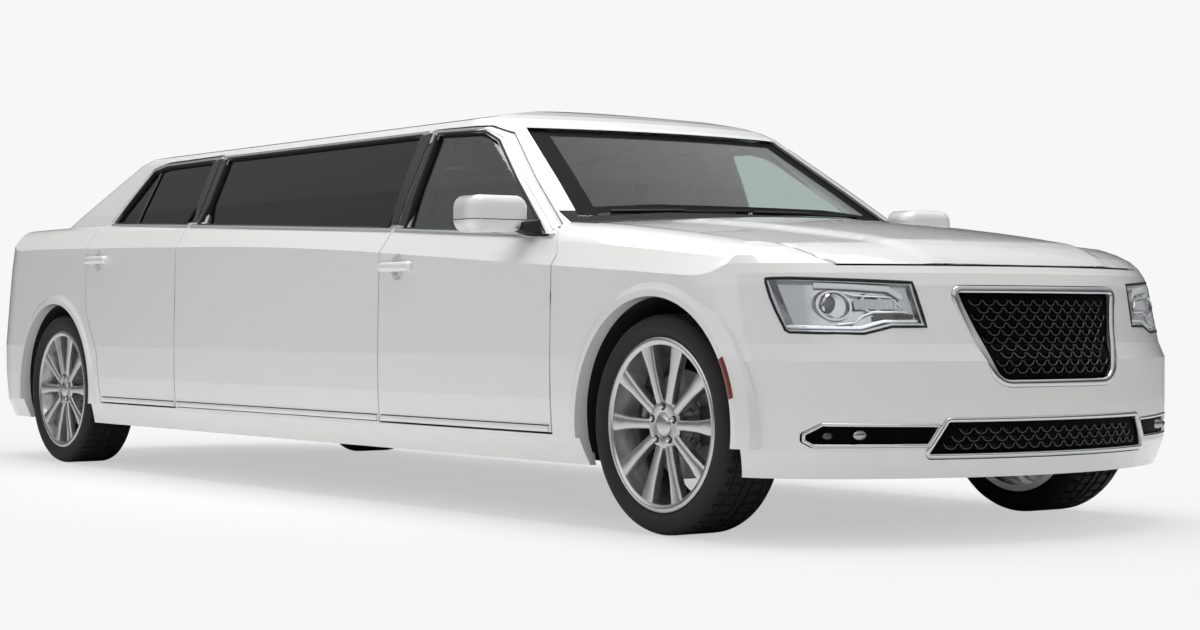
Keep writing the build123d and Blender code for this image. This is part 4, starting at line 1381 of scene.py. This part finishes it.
@dataclass(frozen=True)
class Mesh:
    """Raised lower lips of the openings of one mesh, their lighter grey a painted highlight: its outline and
    its ring, as in the solid.
    """

    name: str
    low: float
    half_low: float
    high: float
    half_high: float
    ring: float
    rim: float = 0.012
    across: float = 0.050
    up: float = 0.023
    half_opening: float = 0.021
    lip_section: Point = (0.003, 0.0035, 0.001)
    lip: Line = ((-0.0225, 0.0065), (-0.0130, -0.0066), (0.0, -0.0107), (0.0130, -0.0066), (0.0225, 0.0065))

    def middles(self) -> List[Pair]:
        """Places of the openings.

        Returns:
            Their middles, in staggered rows.
        """
        found = []
        rows = int((self.high - self.low - 2 * (self.ring + self.rim)) / self.up)
        for row in range(rows):
            z = (self.low + self.high) / 2 + (row - (rows - 1) / 2) * self.up
            rise = (z - self.low) / (self.high - self.low)
            half = self.half_low + (self.half_high - self.half_low) * rise
            half = half - self.half_opening - self.ring - self.rim
            half -= self.rim if row in (0, rows - 1) else 0
            shift = self.across / 2 if row % 2 else 0
            count = int((half + shift) / self.across) + 1
            places = [k * self.across + shift for k in range(-count, count + 1)]
            found += [(y, z) for y in places if abs(y) <= half]
        return found

    def build(self) -> None:
        """Make all the lips as one piece."""
        skin = Skin(("grilles",))
        work = bmesh.new()
        for y, z in self.middles():
            hits = [skin.nose(y + dy, z + dz) for dy, dz in self.lip]
            sweep(work, stations_along(hits), strip(*self.lip_section))
        # The lips are real relief; their grey, lighter than the plate, is painted highlight on the lower
        # rims.
        make_piece(work, f"{self.name}_lips", CHASSIS, LIP_HIGHLIGHT_GREY, 50)


MESHES: Tuple[Mesh, ...] = (
    Mesh("grille", 0.478, 0.262, 0.792, 0.378, 0.024),
    Mesh("intake", 0.262, 0.505, 0.390, 0.425, 0.016),
)


@dataclass(frozen=True)
class Surround:
    """One surround seen from the front.

    It has its ring's outer outline and width, a radius for each corner, and the steps
    either way over which it is evened out.
    """

    outline: Line
    width: float
    radii: Tuple[float, ...]
    ease: int


RECESS: Line = (
    (0.476, 0.300),
    (0.431, 0.372),
    (0.770, 0.376),
    (0.815, 0.345),
    (0.815, 0.318),
    (0.790, 0.300),
)
SURROUNDS: Tuple[Surround, ...] = (
    Surround(
        ((-0.378, 0.792), (0.378, 0.792), (0.262, 0.478), (-0.262, 0.478)),
        0.024,
        (0.022, 0.022, 0.072, 0.072),
        5,
    ),
    Surround(((-0.505, 0.262), (0.505, 0.262), (0.425, 0.390), (-0.425, 0.390)), 0.016, (0.016,) * 4, 1),
    Surround(tuple((-y, z) for y, z in RECESS), 0.012, (0.006,) * 6, 0),
    Surround(RECESS, 0.012, (0.006,) * 6, 0),
)


@dataclass
class Bezels:
    """Rounded bright surrounds of the grille, the intake and the recesses, for the flat rings of the solid.

    Their section is half of one: outward distances, and shares of the half width.
    """

    foremost: float = 3.2993
    step: float = 0.012
    section: Line = ((-0.012, 1.0), (-0.0050, 1.0), (-0.0022, 0.78), (-0.0006, 0.42))

    def loop(self, work: bmesh.types.BMesh, skin: Skin, ring: Surround) -> None:
        """Sweep one surround.

        Args:
            work: Bmesh to add to.
            skin: The flat rings.
            ring: The surround.
        """
        half = ring.width / 2
        line = spaced(rounded(grown(ring.outline, -half), ring.radii), self.step, True)
        hits = [skin.nose(y, z) for y, z in line]
        n, reach = len(hits), range(-ring.ease, ring.ease + 1)
        eased = []
        for i in range(n):
            near = [hits[(i + k) % n] for k in reach]
            x = min(self.foremost, sum(spot.x for spot, _ in near) / len(near))
            normal = sum((turn for _, turn in near), Vector()).normalized()
            eased.append((Vector((x, hits[i][0].y, hits[i][0].z)), normal))
        side = [(u, half * v) for u, v in self.section]
        sweep(work, stations_along(eased, True), [(u, -v) for u, v in side] + side[::-1], True)

    def build(self) -> None:
        """Make all the surrounds as one piece."""
        skin = Skin(("grille_surrounds",))
        work = bmesh.new()
        for ring in SURROUNDS:
            self.loop(work, skin, ring)
        made = make_piece(work, "bright_surrounds", CHASSIS, CHROME, 60)
        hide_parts("grille_surrounds")


@dataclass(frozen=True)
class TailStrip:
    """A strip across the tail: what it lies on and rides on, its ends, level and height, and its finish."""

    name: str
    node: str
    body: str
    ends: Pair
    level: float
    height: float
    finish: Finish
    slot: Slot
    proud: float = 0.003
    step: float = 0.04

    def build(self) -> None:
        """Lay the strip."""
        skin = Skin((self.node,))
        line = [(y, self.level) for y in self.ends]
        hits = [skin.tail(y, z) for y, z in spaced(line, self.step)]
        work = swept(hits, strip(self.proud, self.height))
        make_piece(work, self.name, self.body, self.finish)


TAIL_STRIPS: Tuple[TailStrip, ...] = (
    TailStrip("boot_moulding", "boot_lid", "boot_panel", (-0.56, 0.56), 0.742, 0.022, CHROME, Slot.BRIGHT),
    TailStrip("bumper_foot", "rear_bumper", CHASSIS, (-0.52, 0.52), 0.285, 0.060, GRAINED_BLACK, Slot.BLACK),
    *(
        TailStrip(f"reflector_{word}", "rear_bumper", CHASSIS, ends, 0.430, 0.026, RED_ACRYLIC, Slot.TAIL)
        for word, ends in (("left", (0.58, 0.76)), ("right", (-0.76, -0.58)))
    ),
)


@dataclass
class Screen:
    """Windscreen border, wipers, washer jets and the inside mirror."""

    border: Line = (
        (-0.735, 1.042),
        (-0.400, 1.062),
        (0.400, 1.062),
        (0.735, 1.042),
        (0.592, 1.392),
        (-0.592, 1.392),
    )
    border_in: float = 0.021
    border_width: float = 0.04
    border_depth: Pair = (-0.0005, 0.0006)
    border_step: float = 0.05
    edge_width: float = 0.09
    edge_depth: Pair = (-0.0005, 0.0007)
    edge_foot: Pair = (0.693, 1.048)
    edge_head: Pair = (0.552, 1.388)
    edge_steps: int = 8
    blades: Tuple[Line, ...] = (((-0.60, 1.056), (-0.03, 1.072)), ((-0.02, 1.064), (0.56, 1.070)))
    blade: Line = ((-0.004, -0.003), (0.003, -0.005), (0.006, 0.0), (0.003, 0.005), (-0.004, 0.003))
    blade_lift: float = 0.005
    arm_lift: float = 0.010
    arm: Point = (0.004, 0.009, 0.003)
    blade_step: float = 0.06
    jet: Pair = (2.085, 0.30)
    jet_radius: float = 0.012
    jet_shape: Point = (1.5, 1.0, 0.7)

    def printed_band(self) -> None:
        """Black printed band round the windscreen, wider at the pillars."""
        glass = Skin(("windscreen",))
        inner = spaced(grown(self.border, -self.border_in), self.border_step, True)
        hits = [glass.nose(y, z) for y, z in inner]
        work = swept(hits, band(*self.border_depth, self.border_width), True)
        foot, head = Vector(self.edge_foot), Vector(self.edge_head)
        edge = [foot.lerp(head, i / self.edge_steps) for i in range(self.edge_steps + 1)]
        for s in (-1, 1):
            hits = [glass.nose(s * at.x, at.y) for at in edge]
            sweep(work, stations_along(hits), band(*self.edge_depth, self.edge_width))
        make_piece(work, "windscreen_band", CHASSIS, MATT_BLACK)

    def wipers(self) -> None:
        """Two wiper blades and arms at the foot of the windscreen."""
        glass = Skin(("windscreen", "firewall"))
        work = bmesh.new()
        for line in self.blades:
            hits = [glass.nose(y, z) for y, z in spaced(line, self.blade_step)]
            lifted = [(spot + normal * self.blade_lift, normal) for spot, normal in hits]
            sweep(work, stations_along(lifted), self.blade)
            inner = hits[: len(hits) // 2 + 1]
            lifted = [(spot + normal * self.arm_lift, normal) for spot, normal in inner]
            sweep(work, stations_along(lifted), strip(*self.arm))
        make_piece(work, "wipers", CHASSIS, GRAINED_BLACK)

    def jets(self) -> None:
        """Two washer jets on the hood."""
        top = Skin(("hood",))
        work = bmesh.new()
        for s in (-1, 1):
            spot, normal = top.top(self.jet[0], self.jet[1] * s)
            place = Matrix.Translation(spot) @ normal.to_track_quat("Z", "X").to_matrix().to_4x4()
            place = place @ Matrix.Diagonal((*self.jet_shape, 1))
            bmesh.ops.create_uvsphere(
                work, u_segments=16, v_segments=8, radius=self.jet_radius, matrix=place
            )
        make_piece(work, "washer_jets", "hood_panel", GRAINED_BLACK)

    def inside_mirror(self) -> None:
        """Driving mirror on its stalk behind the windscreen."""
        work = bmesh.new()
        box(work, (1.13, 0, 1.300), (0.030, 0.24, 0.065))
        soften(work, 0.012, 4)
        box(work, (1.15, 0, 1.352), (0.05, 0.08, 0.085), 25)
        make_piece(work, "inside_mirror", CHASSIS, GRAINED_BLACK)

    def build(self) -> None:
        """Dress the windscreen."""
        self.printed_band()
        self.wipers()
        self.jets()
        self.inside_mirror()


@dataclass
class DoorMirror:
    """Painted shell, cap line, glass and dark foot of one door mirror."""

    side: Side
    plain_top: float = 0.9845
    plain_reach: float = 0.8915
    middle: Point = (1.612, 1.007, 1.028)
    clear: float = 0.4
    line_steps: int = 120
    line_depth: Pair = (-0.002, 0.0002)
    line_width: float = 0.0028
    glass_start: float = 1.2
    glass_level: float = 1.048
    glass_size: Pair = (0.155, 0.076)
    glass_proud: float = 0.0008
    glass_wall: float = 0.002
    foot_middle: Point = (1.662, 0.902, 1.004)
    foot_size: Point = (0.100, 0.060, 0.052)
    foot_taper: Point = (0.62, 1.0, 0.6)
    foot_round: float = 0.004
    head: Skin = field(init=False)
    centre: Vector = field(init=False)

    def __post_init__(self) -> None:
        """Take the mirror's own solid as the surface."""
        self.head = Skin((f"mirror_{self.side.word}",))
        x, y, z = self.middle
        self.centre = Vector((x, y * self.side.value, z))

    def fit(self, work: bmesh.types.BMesh, stem: str, finish: Finish, slot: Slot) -> bpy.types.Object:
        """Make a piece of this side's mirror, riding on the front door."""
        word = self.side.word
        return make_piece(work, f"{stem}_{word}", f"front_door_{word}", finish)

    def shell(self) -> None:
        """Painted head, standing in for the solid without its plain foot."""
        node = f"mirror_{self.side.word}"
        work = node_copy(node)
        plain = [v for v in work.verts if v.co.z < self.plain_top or abs(v.co.y) < self.plain_reach]
        bmesh.ops.delete(work, geom=plain, context="VERTS")
        bmesh.ops.holes_fill(work, edges=[e for e in work.edges if e.is_boundary], sides=0)
        made = self.fit(work, "mirror_shell", WHITE_PAINT, Slot.PAINT)
        drop_normals(made)
        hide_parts(node)

    def cap_line(self) -> None:
        """Dark line round the head, where its cap ends."""
        hits = []
        for i in range(self.line_steps):
            turn = math.tau * i / self.line_steps
            way = Vector((math.cos(turn), math.sin(turn), 0))
            hits.append(self.head.hit(self.centre + way * self.clear, -way))
        work = swept(hits, band(*self.line_depth, self.line_width), True)
        self.fit(work, "mirror_cap_line", SEAL_RUBBER, Slot.BLACK)

    def glass(self) -> None:
        """Mirror glass on the face that looks back."""
        wide, high = self.glass_size

        def seat(u: float, v: float) -> Vector:
            """Place of a point of the glass, a little proud of the head.

            Args:
                u: Its share of the way across.
                v: Its share of the way up.

            Returns:
                The place.
            """
            y, z = self.centre.y + (u - 0.5) * wide, self.glass_level + (v - 0.5) * high
            spot, _ = self.head.hit(Vector((self.glass_start, y, z)), Vector((1, 0, 0)))
            return spot - Vector((self.glass_proud, 0, 0))

        self.fit(plate((6, 6), seat, self.glass_wall), "mirror_glass", CHROME, Slot.BRIGHT)

    def foot(self) -> None:
        """Dark foot between the door and the head, narrower at the head."""
        x, y, z = self.foot_middle
        work = bmesh.new()
        box(work, (x, y * self.side.value, z), self.foot_size)
        outer = [v for v in work.verts if abs(v.co.y) > y]
        middle = sum((v.co for v in outer), Vector()) / len(outer)
        bmesh.ops.scale(work, vec=self.foot_taper, space=Matrix.Translation(-middle), verts=outer)
        soften(work, self.foot_round, 3)
        self.fit(work, "mirror_foot", GRAINED_BLACK, Slot.BLACK)

    def build(self) -> None:
        """Dress the mirror."""
        self.shell()
        self.cap_line()
        self.glass()
        self.foot()


@dataclass(frozen=True)
class Pad:
    """One stuffed block: its middle, its size, its lean about Y in degrees, and its sewn channels."""

    name: str
    middle: Point
    size: Point
    lean: float = 0.0
    channels: int = 0
    along: Axis = Axis.Y


@dataclass
class Seats:
    """Padded leather seats of the cabin, each block crowned, pulled in at its sides and sewn in channels."""

    cuts: int = 12
    crown: float = 0.10
    pull: float = 0.05
    channel_mm: float = 7.0
    channel_power: int = 10
    stalk_radius: float = 0.007
    stalk_length: float = 0.07
    stalk_off: float = 0.06

    def block(self, pad: Pad) -> bpy.types.Object:
        """Make one padded block.

        Args:
            pad: Its place and size.

        Returns:
            The new piece.
        """
        work = bmesh.new()
        bmesh.ops.create_cube(work, size=2.0)
        bmesh.ops.subdivide_edges(work, edges=list(work.edges), cuts=self.cuts, use_grid_fill=True)
        sx, sy, sz = (v / 2 for v in pad.size)
        side_top, face = 0.99, 0.9
        for vert in work.verts:
            x, y, z = vert.co
            pull = 1 - self.pull * (1 - max(x * x, y * y)) if abs(z) < side_top else 1.0
            edge = 1 - self.crown * (x**4 + y**4) / 2
            sewn = 0.0
            if pad.channels and abs(z) > face:
                wave = math.cos(vert.co[pad.along.value] * math.pi * pad.channels)
                sewn = max(0.0, wave) ** self.channel_power * self.channel_mm / MM_PER_M
            vert.co = Vector((sx * x * pull, sy * y * pull, sz * z * edge - math.copysign(sewn, z)))
        turn = Matrix.Rotation(math.radians(pad.lean), 4, "Y")
        bmesh.ops.transform(work, matrix=Matrix.Translation(pad.middle) @ turn, verts=work.verts)
        made = make_piece(work, pad.name, CHASSIS, BLACK_HIDE, 180)
        soft = made.modifiers.new("soften", "SUBSURF")
        soft.levels = soft.render_levels = 1
        return made

    def chair(self, name: str, y: float) -> bpy.types.Object:
        """Make a front seat on its base.

        Args:
            name: Who sits in it.
            y: Its place across the car.

        Returns:
            Its cushion.
        """
        cushion = self.block(Pad(f"{name}_cushion", (1.100, y, 0.445), (0.53, 0.505, 0.146), 0, 2))
        self.block(Pad(f"{name}_back", (0.852, y, 0.720), (0.108, 0.505, 0.650), -10, 2))
        self.block(Pad(f"{name}_headrest", (0.777, y, 1.155), (0.090, 0.255, 0.166), -4))
        stalks, r = bmesh.new(), self.stalk_radius
        for off in (-self.stalk_off, self.stalk_off):
            at = Matrix.Translation((0.785, y + off, 1.06))
            bmesh.ops.create_cone(
                stalks, cap_ends=True, segments=16, radius1=r, radius2=r, depth=self.stalk_length, matrix=at
            )
        make_piece(stalks, f"{name}_headrest_stalks", CHASSIS, CHROME)
        base = bmesh.new()
        box(base, (1.10, y, 0.306), (0.42, 0.40, 0.130))
        soften(base, 0.02, 3)
        make_piece(base, f"{name}_seat_base", CHASSIS, DASH_SKIN)
        return cushion

    def plinth(self, name: str, middles: Sequence[Point], size: Point) -> None:
        """Make the plain blocks under a seat.

        Args:
            name: Piece name.
            middles: Middles of the blocks.
            size: Size of each.
        """
        work = bmesh.new()
        for middle in middles:
            box(work, middle, size)
        make_piece(work, name, CHASSIS, DASH_SKIN)

    def build(self) -> None:
        """Make every seat, and hide the solids that the seats stand in for."""
        cushions = [self.chair(name, y) for name, y in (("driver", -0.385), ("passenger", 0.385))]
        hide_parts("front_seats")
        bench = self.block(Pad("lounge_cushion", (-1.520, 0, 0.425), (0.60, 1.49, 0.14), 0, 3))
        self.block(Pad("lounge_back", (-1.752, 0, 0.770), (0.105, 1.49, 0.520), -5, 3))
        self.plinth("lounge_plinth", [(-1.520, y, 0.300) for y in (-0.44, 0.44)], (0.60, 0.60, 0.110))
        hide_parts("lounge_seat")
        sofa = self.block(Pad("sofa_cushion", (-0.530, 0.495, 0.430), (1.30, 0.38, 0.135), 0, 4, Axis.X))
        self.block(Pad("sofa_back", (-0.530, 0.718, 0.730), (1.30, 0.078, 0.450), 0, 4, Axis.X))
        self.plinth("sofa_plinth", [(-0.530, 0.520, 0.304)], (1.30, 0.42, 0.120))
        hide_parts("side_sofa")


@dataclass(frozen=True)
class SoftBox:
    """One lamp: where it hangs, the point it faces, its width and height, and its power in watts."""

    name: str
    place: Point
    aim: Point
    size: Pair
    watts: float

    def build(self) -> None:
        """Hang the lamp."""
        data = bpy.data.lights.new(self.name, "AREA")
        data.shape = "RECTANGLE"
        data.size, data.size_y = self.size
        data.energy = self.watts
        made = bpy.data.objects.new(self.name, data)
        made.location = self.place
        made.rotation_mode = "QUATERNION"
        made.rotation_quaternion = (Vector(self.aim) - Vector(self.place)).to_track_quat("-Z", "Y")
        bpy.context.scene.collection.objects.link(made)


SOFT_BOXES: Tuple[SoftBox, ...] = (
    SoftBox("overhead", (0.0, 0.0, 6.5), (0.0, 0.0, 0.0), (9.0, 4.0), 455.0),
    SoftBox("front_fill", (9.0, -3.0, 3.5), (2.0, 0.0, 0.7), (4.0, 3.0), 20.0),
    SoftBox("side_fill", (-1.5, -8.0, 3.0), (-1.0, 0.0, 0.7), (8.0, 2.5), 60.0),
)


@dataclass
class Studio:
    """Pale floor, soft lamps and the photograph's camera."""

    eye: Point = (8.338, -5.426, 0.686)
    yaw_deg: float = 54.06
    pitch_deg: float = 0.11
    lens_mm: float = 70.31
    sensor_mm: float = 36.0
    clip: Pair = (0.05, 200.0)
    backdrop: str = "#f7f7f7"
    floor_colour: str = "#f2f2f2"
    floor_roughness: float = 0.9
    floor_half: float = 60.0
    shadow_squeeze: Point = (0.55, 1.0, 1.0)
    shadow_reach: Pair = (1.2, 3.2)
    shadow_share: Pair = (0.55, 1.0)
    ambient: float = 0.385
    mirror_rise: Pair = (0.02, 0.75)
    mirror_light: Pair = (0.06, 0.70)

    def camera(self) -> None:
        """Place the camera where the photograph was taken from."""
        data = bpy.data.cameras.new("photo_camera")
        data.lens = self.lens_mm
        data.sensor_width = self.sensor_mm
        data.clip_start, data.clip_end = self.clip
        made = bpy.data.objects.new("photo_camera", data)
        yaw, pitch = math.radians(self.yaw_deg), math.radians(self.pitch_deg)
        ahead = Vector((-math.sin(yaw) * math.cos(pitch), math.cos(yaw) * math.cos(pitch), math.sin(pitch)))
        made.location = self.eye
        made.rotation_mode = "QUATERNION"
        made.rotation_quaternion = ahead.to_track_quat("-Z", "Y")
        bpy.context.scene.collection.objects.link(made)
        bpy.context.scene.camera = made

    @staticmethod
    def smooth(start: Pair, stop: Pair) -> Dict[Key, object]:
        """Settings that turn one range smoothly into another."""
        ends = {"From Min": start[0], "From Max": start[1], "To Min": stop[0], "To Max": stop[1]}
        return {"interpolation_type": "SMOOTHSTEP", **ends}

    @staticmethod
    def seen(tree: bpy.types.NodeTree) -> bpy.types.NodeSocket:
        """Tell whether the stage is seen straight or through glass.

        Args:
            tree: Node tree of the floor or the world.

        Returns:
            Socket that is 1 where it is seen so.
        """
        rays = add_node(tree, "ShaderNodeLightPath").outputs
        ways = {0: rays["Is Camera Ray"], 1: rays["Is Transmission Ray"]}
        return add_node(tree, "ShaderNodeMath", {"operation": "MAXIMUM"}, ways).outputs["Value"]

    def floor(self) -> None:
        """Lay a wide floor that fades from a soft shadow by the car to the backdrop's own colour."""
        work = bmesh.new()
        bmesh.ops.create_grid(work, x_segments=1, y_segments=1, size=self.floor_half)
        mesh = bpy.data.meshes.new("studio_floor")
        work.to_mesh(mesh)
        work.free()
        made = bpy.data.objects.new("studio_floor", mesh)
        bpy.context.scene.collection.objects.link(made)
        finish = bpy.data.materials.new("studio_floor")
        finish.use_nodes = True
        tree = finish.node_tree
        matt = tree.nodes["Principled BSDF"]
        matt.inputs["Base Color"].default_value = linear(self.floor_colour)
        matt.inputs["Roughness"].default_value = self.floor_roughness
        place = add_node(tree, "ShaderNodeTexCoord").outputs["Object"]
        squeezed = {"operation": "MULTIPLY", 1: self.shadow_squeeze}
        squeeze = add_node(tree, "ShaderNodeVectorMath", squeezed, {0: place}).outputs["Vector"]
        length = {"operation": "LENGTH"}
        reach = add_node(tree, "ShaderNodeVectorMath", length, {0: squeeze}).outputs["Value"]
        fading = self.smooth(self.shadow_reach, self.shadow_share)
        fade = add_node(tree, "ShaderNodeMapRange", fading, {"Value": reach}).outputs["Result"]
        glow = {"Color": linear(self.backdrop), "Strength": 1.0}
        pale = add_node(tree, "ShaderNodeEmission", glow).outputs[0]
        part = add_node(tree, "ShaderNodeMath", {"operation": "MULTIPLY"}, {0: fade, 1: self.seen(tree)})
        mixed = {0: part.outputs["Value"], 1: matt.outputs[0], 2: pale}
        ground = add_node(tree, "ShaderNodeMixShader", links=mixed).outputs[0]
        tree.links.new(ground, tree.nodes["Material Output"].inputs["Surface"])
        mesh.materials.append(finish)

    def world(self) -> None:
        """Pale surroundings, seen at the backdrop's own colour, lighting the car softly.

        Mirrored in gloss they rise from dark at the ground to bright above, so that chrome
        shows dark and bright bands.
        """
        world = bpy.data.worlds.new("studio_world")
        bpy.context.scene.world = world
        world.use_nodes = True
        tree = world.node_tree
        tree.nodes.clear()
        white, light = linear("#ffffff"), "ShaderNodeBackground"
        seen = add_node(tree, light, {"Color": linear(self.backdrop), "Strength": 1.0}).outputs[0]
        lit = add_node(tree, light, {"Color": white, "Strength": self.ambient}).outputs[0]
        place = add_node(tree, "ShaderNodeTexCoord").outputs["Generated"]
        height = add_node(tree, "ShaderNodeSeparateXYZ", links={"Vector": place}).outputs["Z"]
        rising = self.smooth(self.mirror_rise, self.mirror_light)
        rise = add_node(tree, "ShaderNodeMapRange", rising, {"Value": height}).outputs["Result"]
        mirrored = add_node(tree, light, {"Color": white}, {"Strength": rise}).outputs[0]
        glossy = add_node(tree, "ShaderNodeLightPath").outputs["Is Glossy Ray"]
        unseen = add_node(tree, "ShaderNodeMixShader", links={0: glossy, 1: lit, 2: mirrored}).outputs[0]
        ways = {0: self.seen(tree), 1: unseen, 2: seen}
        pick = add_node(tree, "ShaderNodeMixShader", links=ways).outputs[0]
        add_node(tree, "ShaderNodeOutputWorld", links={"Surface": pick})

    def build(self) -> None:
        """Set the whole stage."""
        bpy.context.scene.view_settings.view_transform = "Standard"
        self.floor()
        self.world()
        for lamp in SOFT_BOXES:
            lamp.build()
        self.camera()


def main() -> None:
    """Build the looks in order."""
    logging.basicConfig(level=logging.INFO, format="%(name)s: %(message)s")
    Panels().build()
    Hood().build()
    for side in Side:
        FlankTrim(side).build()
        Headlamp(side).build()
        DoorMirror(side).build()
        for end in End:
            Wheel(end, side).build()
    for mesh in MESHES:
        mesh.build()
    Bezels().build()
    for tail_strip in TAIL_STRIPS:
        tail_strip.build()
    Screen().build()
    Seats().build()
    Studio().build()


if __name__ == "__main__":
    main()
